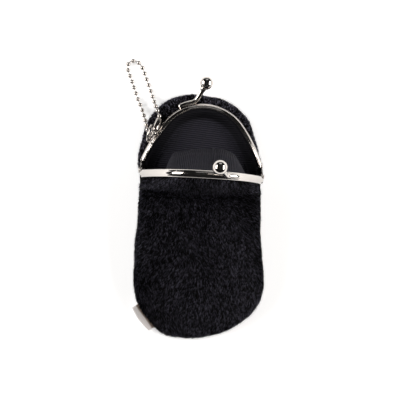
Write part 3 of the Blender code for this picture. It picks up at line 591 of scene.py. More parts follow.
class Number:
    """A number socket; arithmetic on it adds Math nodes to its tree."""

    def __init__(self, recipe, socket):
        self.recipe = recipe
        self.socket = socket

    def _math(self, operation, *values):
        return self.recipe.number("ShaderNodeMath", dict(enumerate(values)), operation=operation)

    def __add__(self, other):
        return self._math("ADD", self, other)

    def __radd__(self, other):
        return self._math("ADD", other, self)

    def __sub__(self, other):
        return self._math("SUBTRACT", self, other)

    def __rsub__(self, other):
        return self._math("SUBTRACT", other, self)

    def __mul__(self, other):
        return self._math("MULTIPLY", self, other)

    def __rmul__(self, other):
        return self._math("MULTIPLY", other, self)

    def __pow__(self, other):
        return self._math("POWER", self, other)

    def wave(self, period):
        """Sine wave between 0 and 1."""
        return 0.5 + 0.5 * self._math("SINE", self * (2.0 * math.pi / period))

    def clamped(self):
        """The number kept between 0 and 1."""
        return self.recipe.number("ShaderNodeClamp", {0: self})


class Recipe:
    """A node tree that is written node by node."""

    def __init__(self, tree):
        self.tree = tree

    def node(self, kind, sockets=None, **settings):
        """Adds a node; its settings come first, then the values or links of its sockets."""
        made = self.tree.nodes.new(kind)
        for name, value in settings.items():
            setattr(made, name, value)
        for name, value in (sockets or {}).items():
            self.feed(made.inputs[name], value)
        return made

    def feed(self, socket, value):
        """Links a value to a socket, or sets the socket to it."""
        if isinstance(value, Number):
            value = value.socket
        if isinstance(value, bpy.types.NodeSocket):
            self.tree.links.new(value, socket)
        else:
            socket.default_value = value

    def number(self, kind, sockets=None, output=0, **settings):
        """Adds a node and gives one of its outputs as a number."""
        return Number(self, self.node(kind, sockets, **settings).outputs[output])

    def vector(self, operation, first, second):
        """Adds a Vector Math node and gives its vector."""
        sockets = {0: first, "Scale" if operation == "SCALE" else 1: second}
        return self.node("ShaderNodeVectorMath", sockets, operation=operation).outputs[0]


def new_material(name):
    """Material with an empty Principled shader, its recipe and the shader node."""
    material = bpy.data.materials.new(name)
    material.use_nodes = True
    material.node_tree.nodes.clear()
    recipe = Recipe(material.node_tree)
    shader = recipe.node("ShaderNodeBsdfPrincipled")
    recipe.node("ShaderNodeOutputMaterial", {"Surface": shader.outputs["BSDF"]})
    return material, recipe, shader


def object_place(recipe, scale=(1.0, 1.0, 1.0)):
    """Scaled object coordinates."""
    coordinates = recipe.node("ShaderNodeTexCoord").outputs["Object"]
    scaled = recipe.node("ShaderNodeMapping", {"Vector": coordinates, "Scale": scale})
    return scaled.outputs["Vector"]


def weave_place(recipe):
    """The two UV ways over a cloth, in metres."""
    uv = recipe.node("ShaderNodeUVMap", uv_map="weave").outputs["UV"]
    split = recipe.node("ShaderNodeSeparateXYZ", {0: uv})
    return [Number(recipe, split.outputs[way]) for way in (0, 1)]


def cloud(recipe, vector, scale, detail, roughness):
    """Noise value over a surface."""
    sockets = {"Vector": vector, "Scale": scale, "Detail": detail, "Roughness": roughness}
    return recipe.number("ShaderNodeTexNoise", sockets)


def between(recipe, factor, low, high):
    """Colour between two colours or colour sockets."""
    mix = recipe.node("ShaderNodeMix", {0: factor}, data_type="RGBA")
    recipe.feed(mix.inputs[6], low)
    recipe.feed(mix.inputs[7], high)
    return mix.outputs[2]


def opaque(colour, factor=1.0):
    """Colour of four numbers, made darker or lighter."""
    return (colour[0] * factor, colour[1] * factor, colour[2] * factor, 1.0)


def shades(recipe, factor, colour, span):
    """Colour between the darkest and the lightest share of a colour."""
    return between(recipe, factor, opaque(colour, span[0]), opaque(colour, span[1]))


def coat(recipe, shader, sockets, height=None, bump=None):
    """Feeds a shader's sockets and lets a height bump its surface."""
    for name, value in sockets.items():
        recipe.feed(shader.inputs[name], value)
    if height is not None:
        strength, distance = bump
        sockets = {"Height": height, "Strength": strength, "Distance": distance}
        made = recipe.node("ShaderNodeBump", sockets)
        recipe.feed(shader.inputs["Normal"], made.outputs["Normal"])


def plush_skin(recipe, shader, looks):
    """Knitted ground below the pile."""
    where = object_place(recipe)
    tufts = cloud(recipe, where, *TUFTS)
    patches = cloud(recipe, where, *SKIN_PATCHES)
    tone = (0.35 + 0.5 * tufts + 0.3 * patches).clamped()
    sockets = {
        "Base Color": shades(recipe, tone, looks.plush_colour, SKIN_SHADES),
        "Roughness": 0.95 - 0.2 * tufts,
        "Specular IOR Level": 0.2,
    }
    coat(recipe, shader, sockets, tufts, SKIN_BUMP)


def plush_pile(recipe, shader, looks):
    """Fine strands, each lighter or darker than the next, with a little painted light on the flap.
    """
    tone = recipe.number("ShaderNodeAttribute", attribute_name="tone", output=2)
    where = object_place(recipe)
    patches = cloud(recipe, where, *PILE_PATCHES)
    split = recipe.node("ShaderNodeSeparateXYZ", {0: where})
    # Painted light: the pile grows lighter past the hinge line, over the flap
    flap = (Number(recipe, split.outputs[1]) * FLAP_PAINTED_LIGHT).clamped()
    share = (tone**PILE_CONTRAST * (0.5 + 0.8 * patches) * (0.56 + 0.44 * flap)).clamped()
    sockets = {
        "Base Color": shades(recipe, share, looks.plush_colour, PILE_SHADES),
        "Roughness": 0.50 + 0.25 * tone,
        "Specular IOR Level": 0.05,
    }
    coat(recipe, shader, sockets)


def rib_weave(recipe, shader, looks):
    """Fine ribs along the first UV way, with the weave's grain across them."""
    along, across = weave_place(recipe)
    where = object_place(recipe)
    waver = cloud(recipe, where, *RIB_WAVER) * RIB_WAVER_REACH
    rib = (across + waver).wave(looks.rib_pitch)
    thread = along.wave(THREAD_SHARE * looks.rib_pitch)
    lint = cloud(recipe, where, *LINT)
    shade = (0.85 * rib + 0.25 * lint - 0.05).clamped()
    # Painted shade: the back panel darkens towards the channel and the front panel is darker all
    # over
    painted_shade = recipe.number("ShaderNodeAttribute", attribute_name="painted_shade", output=2)
    lit = shades(recipe, shade, looks.lining_colour, RIB_SHADES)
    sockets = {
        "Base Color": between(recipe, painted_shade, opaque(looks.lining_colour, PAINTED_SHADE_SHARE), lit),
        "Roughness": 0.62 + 0.25 * lint,
        "Specular IOR Level": 0.12,
    }
    coat(recipe, shader, sockets, rib + 0.25 * thread + 0.3 * lint, RIB_BUMP)


def nickel_plate(recipe, shader, looks):
    """Polished plate with faint handling marks."""
    smear = cloud(recipe, object_place(recipe), *SMEAR)
    scuff = cloud(recipe, object_place(recipe, SCUFF_STRETCH), *SCUFF)
    sockets = {
        "Base Color": shades(recipe, smear, looks.metal_colour, PLATE_SHADES),
        "Metallic": 1.0,
        "Roughness": (0.035 + 0.07 * smear + 0.05 * scuff).clamped(),
    }
    coat(recipe, shader, sockets, scuff, SCUFF_BUMP)


def shaded_bead_nickel(recipe, shader, looks):
    """Duller plate of the chain's beads, its colour darker than the frame's as painted shade."""
    smear = cloud(recipe, object_place(recipe), *BEAD_SMEAR)
    sockets = {
        "Base Color": shades(recipe, smear, looks.metal_colour, BEAD_PAINTED_SHADES),
        "Metallic": 1.0,
        "Roughness": 0.08 + 0.12 * smear,
    }
    coat(recipe, shader, sockets)


def label_weave(recipe, shader, looks):
    """Plain woven ribbon with random soil, in painted shade where it leaves the seam."""
    along, outward = weave_place(recipe)
    weave = along.wave(WARP_PITCH) * outward.wave(WEFT_PITCH)
    soil_and_shade = cloud(recipe, object_place(recipe), *SOIL_AND_SHADE)
    stripe = outward.wave(STRIPE_PITCH)
    # Painted shade: dark brown where the ribbon leaves the seam
    out_of_shade = (outward * 1300.0 + 0.6 * soil_and_shade - 2.5).clamped()
    tone = (0.15 + 0.3 * weave + 0.3 * soil_and_shade + 0.35 * stripe).clamped()
    cloth = shades(recipe, tone, looks.label_colour, RIBBON_SHADES)
    shaded_root = opaque([part * share for part, share in zip(looks.label_colour, ROOT_SHADE_SHARES)])
    sockets = {
        "Base Color": between(recipe, out_of_shade, shaded_root, cloth),
        "Roughness": 0.7 + 0.2 * soil_and_shade,
        "Sheen Weight": 0.6,
    }
    coat(recipe, shader, sockets, weave, RIBBON_BUMP)


FINISHES = {
    finish.__name__: finish
    for finish in (plush_skin, plush_pile, rib_weave, nickel_plate, shaded_bead_nickel, label_weave)
}


def get_material(name, looks):
    """The finish of that name, made when it is first asked for."""
    material = bpy.data.materials.get(name)
    if material is None:
        material, recipe, shader = new_material(name)
        FINISHES[name](recipe, shader, looks)
    return material


def new_tree(name, numbers, wholes):
    """Node group of a modifier with its named inputs, its recipe and its input sockets."""
    tree = bpy.data.node_groups.new(name, "GeometryNodeTree")
    tree.is_modifier = True
    kinds = [("Geometry", "Geometry")]
    kinds += [(label, "Float") for label in numbers]
    kinds += [(label, "Int") for label in wholes]
    for label, kind in kinds:
        tree.interface.new_socket(label, in_out="INPUT", socket_type="NodeSocket" + kind)
    tree.interface.new_socket("Geometry", in_out="OUTPUT", socket_type="NodeSocketGeometry")
    recipe = Recipe(tree)
    return tree, recipe, recipe.node("NodeGroupInput").outputs


def close_tree(recipe, geometry, material, smooth=False):
    """Ends a tree: instances are made real and take their material."""
    made = recipe.node("GeometryNodeRealizeInstances", {"Geometry": geometry})
    if smooth:
        made = recipe.node("GeometryNodeSetShadeSmooth", {"Geometry": made.outputs[0]})
    sockets = {"Geometry": made.outputs[0], "Material": material}
    made = recipe.node("GeometryNodeSetMaterial", sockets)
    recipe.node("NodeGroupOutput", {"Geometry": made.outputs[0]})


def with_nodes(piece, tree, values):
    """Puts a node tree on an object, with its inputs set by name."""
    modifier = piece.modifiers.new(tree.name, "NODES")
    modifier.node_group = tree
    for item in tree.interface.items_tree:
        if item.item_type == "SOCKET" and item.in_out == "INPUT" and item.name in values:
            modifier[item.identifier] = values[item.name]


# Meshes


def hermite(rows, steps, closed=False):
    """Smooth rows through the given rows, with steps in each stretch and no overshoot."""
    rows = np.asarray(rows, dtype=float)
    count = len(rows)
    if closed:
        before, after = np.roll(rows, 1, axis=0), np.roll(rows, -1, axis=0)
    else:
        before = np.concatenate((2.0 * rows[:1] - rows[1:2], rows[:-1]))
        after = np.concatenate((rows[1:], 2.0 * rows[-1:] - rows[-2:-1]))
    chord = after - before
    length = np.linalg.norm(chord, axis=-1, keepdims=True) + 1e-12
    short = np.minimum(
        np.linalg.norm(rows - before, axis=-1, keepdims=True),
        np.linalg.norm(after - rows, axis=-1, keepdims=True),
    )
    slope = chord / length * short
    out = []
    for index in range(count if closed else count - 1):
        nxt = (index + 1) % count
        for step in range(steps):
            t = step / steps
            out.append(
                (2 * t**3 - 3 * t**2 + 1) * rows[index]
                + (t**3 - 2 * t**2 + t) * slope[index]
                + (3 * t**2 - 2 * t**3) * rows[nxt]
                + (t**3 - t**2) * slope[nxt]
            )
    if not closed:
        out.append(rows[-1])
    return np.array(out)


def refine(grid, down, around, closed=True):
    """Finer grid through a grid of rings, which is (ring, place, 3)."""
    grid = hermite(grid, down)
    return hermite(grid.transpose(1, 0, 2), around, closed).transpose(1, 0, 2)


def grid_normals(grid, closed=True):
    """Outward normals of a grid whose rings run from the mouth and turn by way of the underside."""
    down = np.gradient(grid, axis=0)
    if closed:
        around = np.roll(grid, -1, axis=1) - np.roll(grid, 1, axis=1)
    else:
        around = np.gradient(grid, axis=1)
    normal = np.cross(around, down)
    return normal / (np.linalg.norm(normal, axis=-1, keepdims=True) + 1e-15)


def grid_faces(rows, places, closed, start=0, flip=False):
    """Quads of a grid of vertices."""
    faces = []
    for row in range(rows - 1):
        for index in range(places if closed else places - 1):
            after = (index + 1) % places
            face = (
                start + row * places + index,
                start + row * places + after,
                start + (row + 1) * places + after,
                start + (row + 1) * places + index,
            )
            faces.append(face[::-1] if flip else face)
    return faces


def add_object(name, mesh, material=None):
    """Object of a mesh at the origin."""
    piece = bpy.data.objects.new(name, mesh)
    bpy.context.scene.collection.objects.link(piece)
    if material:
        mesh.materials.clear()
        mesh.materials.append(material)
    return piece


def mesh_of(name, vertices, faces):
    """Mesh of plain vertices and faces."""
    mesh = bpy.data.meshes.new(name)
    mesh.from_pydata([tuple(vertex) for vertex in vertices], [], faces)
    mesh.update()
    return mesh


def face_outwards(mesh, weld=True):
    """Turns a closed mesh's faces outwards."""
    form = bmesh.new()
    form.from_mesh(mesh)
    if weld:
        bmesh.ops.remove_doubles(form, verts=form.verts, dist=1e-8)
    bmesh.ops.recalc_face_normals(form, faces=form.faces)
    form.to_mesh(mesh)
    form.free()


def smooth_shade(mesh, angle):
    """Smooth shading that keeps the edges past an angle in degrees sharp."""
    mesh.shade_smooth()
    mesh.set_sharp_from_angle(angle=math.radians(angle))


def plain(piece, name, material):
    """Plain mesh object of an object with modifiers, which it replaces."""
    graph = bpy.context.evaluated_depsgraph_get()
    mesh = bpy.data.meshes.new_from_object(piece.evaluated_get(graph), depsgraph=graph)
    old = piece.data
    bpy.data.objects.remove(piece)
    if isinstance(old, bpy.types.Mesh):
        bpy.data.meshes.remove(old)
    mesh.name = name
    return add_object(name, mesh, material)


def loft_shell(name, rings, material):
    """Closed body through closed rings, capped at both ends."""
    count = len(rings[0])
    vertices = [point for ring in rings for point in ring]
    faces = grid_faces(len(rings), count, True)
    faces.append(tuple(range(count))[::-1])
    faces.append(tuple(range((len(rings) - 1) * count, len(rings) * count)))
    mesh = mesh_of(name, vertices, faces)
    face_outwards(mesh)
    return add_object(name, mesh, material)


def circle(centre, radius, side, other, sides):
    """Points of a circle that starts on one side and turns towards the other."""
    points = []
    for step in range(sides):
        angle = 2.0 * math.pi * step / sides
        points.append(centre + radius * (math.cos(angle) * side + math.sin(angle) * other))
    return points


def tube(points, radii, sides):
    """Rings of a round tube along points, with a steady twist."""
    points = [Vector(point) for point in points]
    rings = []
    side = None
    for index, point in enumerate(points):
        ahead = points[min(index + 1, len(points) - 1)]
        behind = points[max(index - 1, 0)]
        way = (ahead - behind).normalized()
        if side is None:
            side = way.orthogonal().normalized()
        side = (side - side.dot(way) * way).normalized()
        rings.append(circle(point, radii[index], side, way.cross(side), sides))
    return rings


def lathe(centre, way, profile, sides):
    """Rings of a turned body; the profile is (radius, distance along its way)."""
    way = way.normalized()
    side = way.orthogonal().normalized()
    other = way.cross(side)
    return [
        circle(centre + distance * way, radius, side, other, sides)
        for radius, distance in profile
    ]


def ball_profile(radius, steps):
    """Half circle from pole to pole as (radius, distance)."""
    rows = []
    for step in range(steps + 1):
        angle = math.pi * step / steps
        rows.append((radius * max(math.sin(angle), POLE_SHARE), -radius * math.cos(angle)))
    return rows


def join(name, pieces, material):
    """One object from several bodies."""
    form = bmesh.new()
    for piece in pieces:
        form.from_mesh(piece.data)
    mesh = bpy.data.meshes.new(name)
    form.to_mesh(mesh)
    form.free()
    for piece in pieces:
        old = piece.data
        bpy.data.objects.remove(piece)
        bpy.data.meshes.remove(old)
    return add_object(name, mesh, material)


def finish_piece(piece, slot, *nodes):
    """Lets a piece ride on the frame and stand for its nodes, which it hides; the slot is not used.
    """
    if nodes:
        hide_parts(*nodes)
    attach(piece, "root")


# Plush


def sag_crease(grid):
    """Lets the crease below the front frame sag in the middle and rise to both sides."""
    crease = PLUSH_STEPS * len(PLUSH_RINGS)
    half = grid.shape[1] // 2
    for row in range(len(grid)):
        weight = math.exp(-(((row - crease) / CREASE_ROWS) ** 2))
        across = grid[row, half:, 0] / BAG_HALF_WIDTH
        rise = np.where(across > 0.0, CREASE_RISE_RIGHT, CREASE_RISE_LEFT)
        shift = rise * across**2 - CREASE_SAG * (1.0 - across**2)
        ends = np.sin(np.pi * np.arange(len(across)) / (len(across) - 1)) ** 0.5
        grid[row, half:, 1] += weight * ends * shift
    return grid


def plush_surface(looks):
    """Ground of the plush below its pile, as a fine grid down to its closed end."""
    rings = [[tuple(point) for point in ring] for ring in plush_rings()]
    depth = np.array([row[2] for row in PLUSH_RINGS] + [1.0] * len(BODY))
    grid = sag_crease(refine(rings, PLUSH_STEPS, PLUSH_STEPS))
    depth = np.interp(np.linspace(0, len(depth) - 1, len(grid)), np.arange(len(depth)), depth)
    normals = grid_normals(grid)
    for row in range(len(grid)):
        for index in range(grid.shape[1]):
            spot = Vector(grid[row, index])
            lump = sum(noise.noise(spot * scale) * reach for scale, reach in LUMPS)
            grid[row, index] -= depth[row] * (looks.pile_height - lump) * normals[row, index]
    grid[:, :, 2] = np.maximum(grid[:, :, 2], PILE_FLOOR)

    last = grid[-1]
    centre = last.mean(axis=0)
    end = []
    for share in END_RINGS:
        ring = centre + share * (last - centre)
        ring[:, 1] -= END_BULGE * (1.0 - share**4)
        end.append(ring)
    return np.concatenate((grid, np.array(end)))


def skin_mesh(name, outer):
    """Closed wall between a grid and its inner side; both end in a small ring round a pole."""
    inner = outer - SKIN_WALL * grid_normals(outer)
    rows, places = outer.shape[:2]
    vertices = np.concatenate((outer.reshape(-1, 3), inner.reshape(-1, 3)))
    shift = rows * places
    faces = grid_faces(rows, places, True) + grid_faces(rows, places, True, shift, True)
    for index in range(places):
        after = (index + 1) % places
        faces.append((after, index, shift + index, shift + after))
    end = (rows - 1) * places
    faces.append(tuple(end + index for index in range(places)))
    faces.append(tuple(shift + end + index for index in range(places))[::-1])
    mesh = mesh_of(name, vertices, faces)
    face_outwards(mesh)
    mesh.shade_smooth()
    return mesh


def comb_field(grid):
    """Way in which the pile lies: down the bag, wandering in soft swirls."""
    normals = grid_normals(grid)
    down = np.gradient(grid, axis=0)
    down /= np.linalg.norm(down, axis=-1, keepdims=True) + 1e-15
    across = np.cross(normals, down)
    comb = np.zeros_like(grid)
    for row in range(grid.shape[0]):
        for index in range(grid.shape[1]):
            spot = Vector(grid[row, index])
            angle = sum(turn * noise.noise(spot * scale + start) for scale, turn, start in SWIRLS)
            ahead = math.cos(angle) * down[row, index]
            comb[row, index] = ahead + math.sin(angle) * across[row, index]
    return comb


def pile_areas(grid):
    """Quads of the ground that carry each area of pile, marked by their first row and place."""
    row, index = np.indices(grid.shape[:2])
    x, y, z = grid.transpose(2, 0, 1)
    half, last = grid.shape[1] // 2, grid.shape[1] - 1
    body = row >= PLUSH_STEPS * len(PLUSH_RINGS)
    upper = (index >= half - 2) | (index <= 1)
    front = upper & (body | ((index > half) & (index < last))) & (row >= FRONT_PILE_ROW)
    tucked = (row > TUCKED_PILE_ROW) & (y < TUCKED_PILE_Y)
    return {
        "pile_front_left": front & (y > PILE_SPLIT_Y) & (x < 0.0),
        "pile_front_right": front & (y > PILE_SPLIT_Y) & (x >= 0.0),
        "pile_lower": front & (y <= PILE_SPLIT_Y),
        "pile_flap": ~upper & (row >= FLAP_PILE_ROW) & ~body & (z > FLAP_PILE_Z) & ~tucked,
        "pile_sides": ~upper & body & (z > SIDE_PILE_Z),
    }


def pile_bed(name, grid, comb, keep):
    """Open mesh of the kept quads of a grid that carries the comb direction."""
    rows, places = grid.shape[:2]
    quads = grid_faces(rows, places, True)
    kept = [quad for quad, wanted in zip(quads, keep[:-1].reshape(-1)) if wanted]
    mesh = mesh_of(name, grid.reshape(-1, 3), kept)
    way = mesh.attributes.new("comb", "FLOAT_VECTOR", "POINT")
    way.data.foreach_set("vector", comb.reshape(-1))
    form = bmesh.new()
    form.from_mesh(mesh)
    loose = [vertex for vertex in form.verts if not vertex.link_faces]
    bmesh.ops.delete(form, geom=loose, context="VERTS")
    form.to_mesh(mesh)
    form.free()
    return add_object(name, mesh)


def pile_tree(material):
    """Geometry nodes that stand a strand on each spot of the bed, laid along the comb."""
    tree, recipe, given = new_tree("pile", ("Density", "Length", "Radius", *PILE_LAY), ("Seed",))
    spots = recipe.node(
        "GeometryNodeDistributePointsOnFaces",
        {"Mesh": given["Geometry"], "Density": given["Density"], "Seed": given["Seed"]},
        distribute_method="RANDOM",
    ).outputs
    comb = recipe.node(
        "GeometryNodeInputNamedAttribute", {"Name": "comb"}, data_type="FLOAT_VECTOR"
    )
    stray = recipe.node(
        "FunctionNodeRandomValue",
        {"Min": (-1.0, -1.0, -1.0), "Max": (1.0, 1.0, 1.0), "Seed": STRAY_SEED},
        data_type="FLOAT_VECTOR",
    )
    lift = recipe.vector("SCALE", spots["Normal"], given["Lift"])
    leaning = recipe.vector("ADD", comb.outputs[0], lift)
    free = recipe.vector("ADD", leaning, recipe.vector("SCALE", stray.outputs[0], given["Stray"]))
    clump = recipe.node("ShaderNodeTexNoise", {"Scale": given["Clump Scale"], "Detail": 1.0})
    centred = recipe.vector("SUBTRACT", clump.outputs["Color"], (0.5, 0.5, 0.5))
    way = recipe.vector("ADD", free, recipe.vector("SCALE", centred, given["Clump Lean"]))
    turn = recipe.node("FunctionNodeAlignRotationToVector", {"Vector": way}, axis="Z")
    low, high = STRAND_SPAN
    tall = recipe.node(
        "FunctionNodeRandomValue", {2: low, 3: high, "Seed": TALL_SEED}, data_type="FLOAT"
    )
    size = recipe.node("ShaderNodeCombineXYZ", {0: 1.0, 1: 1.0, 2: tall.outputs[1]})
    strand = recipe.node(
        "GeometryNodeMeshCone",
        {
            "Vertices": 3,
            "Side Segments": 1,
            "Radius Top": 0.0,
            "Radius Bottom": given["Radius"],
            "Depth": given["Length"],
        },
        fill_type="NGON",
    )
    stood = recipe.node(
        "GeometryNodeInstanceOnPoints",
        {
            "Points": spots["Points"],
            "Instance": strand.outputs["Mesh"],
            "Rotation": turn.outputs[0],
            "Scale": size.outputs[0],
        },
    )
    shade = recipe.number(
        "FunctionNodeRandomValue", {2: 0.0, 3: 1.0, "Seed": SHADE_SEED}, output=1, data_type="FLOAT"
    )
    sockets = {"Scale": given["Clump Scale"], "Detail": 2.0, "Roughness": 0.7}
    tuft = recipe.number("ShaderNodeTexNoise", sockets)
    tone = (STRAND_TONE * shade + TUFT_TONE * (tuft - 0.5) + BASE_TONE).clamped()
    toned = recipe.node(
        "GeometryNodeStoreNamedAttribute",
        {"Geometry": stood.outputs[0], "Name": "tone", "Value": tone},
        data_type="FLOAT",
        domain="INSTANCE",
    )
    close_tree(recipe, toned.outputs[0], material)
    return tree


def lift_pile(mesh):
    """Keeps the pile's points above the surface that the purse lies on."""
    spots = np.zeros(len(mesh.vertices) * 3)
    mesh.vertices.foreach_get("co", spots)
    spots[2::3] = np.maximum(spots[2::3], PILE_FLOOR)
    mesh.vertices.foreach_set("co", spots)
    mesh.update()


# Lining


def fold_front(grid):
    """Billow of the front panel, with its soft folds and small dart."""
    rows, places = grid.shape[:2]
    flat = [(0.0,)] * LINING_LAST_ROW
    heights = hermite([(row[5],) for row in LINING_RINGS] + flat, LINING_STEPS_DOWN)[:, 0]
    spots, shares = zip(*BILLOW)
    shifts = BILLOW_BLUR * np.array((-1.0, -0.5, 0.0, 0.5, 1.0))
    for row in range(rows):
        x = grid[row, :, 0]
        swell = np.mean([np.interp(x + shift, spots, shares) for shift in shifts], axis=0)
        grid[row, :, 1] += BILLOW_REACH * max(0.0, heights[row]) * swell
    normals = grid_normals(grid, closed=False)
    for row in range(rows):
        swell = math.exp(-(((row / (rows - 1) - FOLD_DROP) / FOLD_SPREAD) ** 2))
        for index in range(places):
            x = grid[row, index, 0]
            fold = RIPPLE * math.sin(x * RIPPLE_TURN + 1.0)
            for middle, width, height in FOLDS:
                fold += height * math.exp(-(((x - middle) / width) ** 2))
            grid[row, index] += swell * fold * normals[row, index]
    return grid


def lining_panel(name, side, material):
    """Back or front panel of the lining as a closed cloth with ribs along its first UV way."""
    rings = np.array([[tuple(point) for point in ring] for ring in lining_rings()])
    half = STATIONS + 1
    first = 0 if side == "back" else half
    picks = [index % (2 * half) for index in range(first, first + half + 1)]
    grid = refine(rings[:, picks], LINING_STEPS_DOWN, LINING_STEPS_ROUND, closed=False)
    if side == "front":
        grid = fold_front(grid)
    inner = grid - LINING_SKIN * grid_normals(grid, closed=False)
    rows, places = grid.shape[:2]
    shift = rows * places
    faces = grid_faces(rows, places, False) + grid_faces(rows, places, False, shift, True)
    for row in range(rows - 1):
        for index in (0, places - 1):
            low, high = row * places + index, (row + 1) * places + index
            faces.append((low, high, shift + high, shift + low))
    for row in (0, rows - 1):
        for index in range(places - 1):
            low, high = row * places + index, row * places + index + 1
            faces.append((low, high, shift + high, shift + low))
    mesh = mesh_of(name, np.concatenate((grid.reshape(-1, 3), inner.reshape(-1, 3))), faces)

    # Painted shade: the back panel's rows darken towards the channel, and the whole front panel is
    # darker
    if side == "back":
        edge = np.clip((np.arange(rows) - PAINTED_SHADE_ROW) / PAINTED_SHADE_ROWS, 0.0, 1.0)
    else:
        edge = np.full(rows, BILLOW_PAINTED_SHADE)
    painted_shade = mesh.attributes.new("painted_shade", "FLOAT", "POINT")
    painted_shade.data.foreach_set("value", np.tile(np.repeat(edge, places), 2))

    steps_down = np.linalg.norm(np.diff(grid, axis=0), axis=-1).mean(axis=1)
    steps_round = np.linalg.norm(np.diff(grid[rows // 3], axis=0), axis=-1)
    down = np.concatenate(([0.0], np.cumsum(steps_down)))
    around = np.concatenate(([0.0], np.cumsum(steps_round)))
    spots = np.zeros((len(mesh.loops), 2))
    for loop in mesh.loops:
        row, index = divmod(loop.vertex_index % shift, places)
        if side == "back":
            spot = mesh.vertices[loop.vertex_index].co
            spots[loop.index] = (spot.x, spot.y + RIB_SLANT * spot.x)
        else:
            spots[loop.index] = (down[row], around[index])
    mesh.uv_layers.new(name="weave").data.foreach_set("uv", spots.reshape(-1))
    face_outwards(mesh, weld=False)
    mesh.shade_smooth()
    return add_object(name, mesh, material)


# Clasp frame


def flange(corner, depth):
    """Upper side of a channel's section from its open edge round its corner to the web."""
    half = 0.5 * CHANNEL_WIDTH
    edge = []
    for step in range(FLANGE_STEPS + 1):
        share = step / FLANGE_STEPS
        crown = CHANNEL_CROWN * math.sin(math.pi * share)
        edge.append((-depth + share * (depth - corner), half + crown))
    for step in range(1, ARC_STEPS + 1):
        angle = 0.5 * math.pi * step / ARC_STEPS
        edge.append((corner * (math.sin(angle) - 1.0), half - corner * (1.0 - math.cos(angle))))
    return edge


def channel_section(form, depth):
    """Crowned U section with rolled edges as (outward, w) points, open towards the arch."""
    corner, reach, lip = form
    half = 0.5 * CHANNEL_WIDTH
    web = []
    for step in range(1, 2 * WEB_STEPS):
        share = 1.0 - step / WEB_STEPS
        web.append((WEB_CROWN * (1.0 - share**2), (half - corner) * share))
    lower = [(outward, -w) for outward, w in reversed(flange(corner, depth))]
    inner_half = half - CHANNEL_SHEET
    upper_depth = reach * depth
    radius = 0.5 * CHANNEL_SHEET
    low_edge, high_edge = [], []
    for step in range(1, ARC_STEPS):
        sine, cosine = math.sin(math.pi * step / ARC_STEPS), math.cos(math.pi * step / ARC_STEPS)
        low_edge.append((-depth - radius * sine, -half + radius - radius * cosine))
        high_edge.append((-upper_depth - lip * sine, half - lip - lip * cosine))
    inside = [
        (-depth, -inner_half),
        (-CHANNEL_SHEET, -inner_half),
        (-CHANNEL_SHEET, inner_half),
        (-upper_depth, inner_half),
    ]
    return flange(corner, upper_depth) + web + lower + low_edge + inside + high_edge


def channel(half, material):
    """Channel along the whole arch, shallower towards its ends."""
    rings = []
    for step in range(CHANNEL_STEPS + 1):
        share = step / CHANNEL_STEPS
        fade = min(1.0, 2.0 * HALF_RUN * min(share, 1.0 - share) / END_TAPER_LENGTH)
        fade = fade * fade * (3.0 - 2.0 * fade)
        depth = CHANNEL_DEPTH * (END_DEPTH_SHARE + (1.0 - END_DEPTH_SHARE) * fade)
        section = channel_section(CHANNEL_FORM[half], depth)
        rings.append([off_rim(half, share, outward, CHANNEL_MIDDLE + w) for outward, w in section])
    return loft_shell("channel", rings, material)


def ear(half, side, material):
    """Ear plate from the channel's end to the rivet, with a round end and broken edges."""
    ear_u = BACK_EAR if half == "back" else FRONT_EAR
    end_u = BACK_EAR - 0.5 * EAR_THICKNESS
    start, turn = EAR_ARC
    outline = list(EAR_UPPER)
    for step in range(EAR_STEPS + 1):
        angle = start + turn * step / EAR_STEPS
        outline.append((EAR_RADIUS * math.cos(angle), EAR_RADIUS * math.sin(angle)))
    outline += EAR_LOWER
    rings = []
    for across, shrink in EAR_BEVEL:
        ring = []
        for v, w in outline:
            spot = EAR_MIDDLE + shrink * (Vector((v, w)) - EAR_MIDDLE)
            share = max(0.0, min(1.0, spot.x / CHANNEL_START))
            u = ear_u + (end_u - ear_u) * share + across * EAR_THICKNESS
            ring.append(place(half, side * u, spot.x, spot.y))
        rings.append(ring)
    return loft_shell("ear", rings, material)


def rounded_corner(before, corner, after, radius):
    """Curve from one straight run into the next."""
    start = corner + radius * (before - corner).normalized()
    end = corner + radius * (after - corner).normalized()
    curve = []
    for step in range(BEND_STEPS + 1):
        t = step / BEND_STEPS
        curve.append((1 - t) ** 2 * start + 2 * t * (1 - t) * corner + t * t * end)
    return curve


def on_seat(angle):
    """Middle of a stem on the rim, at an angle round the arch's top centre."""
    spot = TOP_CENTRE + (TOP_RADIUS + STEM_SEAT) * Vector((math.sin(angle), math.cos(angle)))
    return Vector((spot.x, spot.y, CHANNEL_MIDDLE))


def clasp(half, material):
    """Stem soldered along the rim, bent up to its ball, with the ball's flared neck."""
    far, near, ball_u = CLASP[half]
    seated = [on_seat(far + (near - far) * step / SEAT_STEPS) for step in range(SEAT_STEPS)]
    elbow = on_seat(near)
    ball = Vector((ball_u, BALL_REACH, BALL_LEAN))
    neck_end = ball + 0.6 * BALL_RADIUS * (elbow - ball).normalized()
    bent = [seated[-1], *rounded_corner(seated[-1], elbow, neck_end, STEM_BEND), neck_end]
    route = [place(half, *point) for point in seated[:-1] + bent]
    first_way = (route[0] - route[1]).normalized()
    cap = [route[0] + ahead * STEM_RADIUS * first_way for ahead, _ in STEM_CAP]
    radii = [STEM_RADIUS * share for _, share in STEM_CAP] + [STEM_RADIUS] * len(route)
    stem = loft_shell("stem", tube(cap + route, radii, 28), material)
    centre = place(half, *ball)
    ball_rings = lathe(centre, Vector((0.0, 0.0, 1.0)), ball_profile(BALL_RADIUS, 28), 48)
    knob = loft_shell("knob", ball_rings, material)
    down = (place(half, *elbow) - centre).normalized()
    start = BALL_RADIUS - NECK_SINK
    profile = [
        (share * radius, start + along * NECK_LENGTH) for radius, share, along in NECK_PROFILE
    ]
    collar = loft_shell("collar", lathe(centre, down, profile, 32), material)
    return [stem, knob, collar]


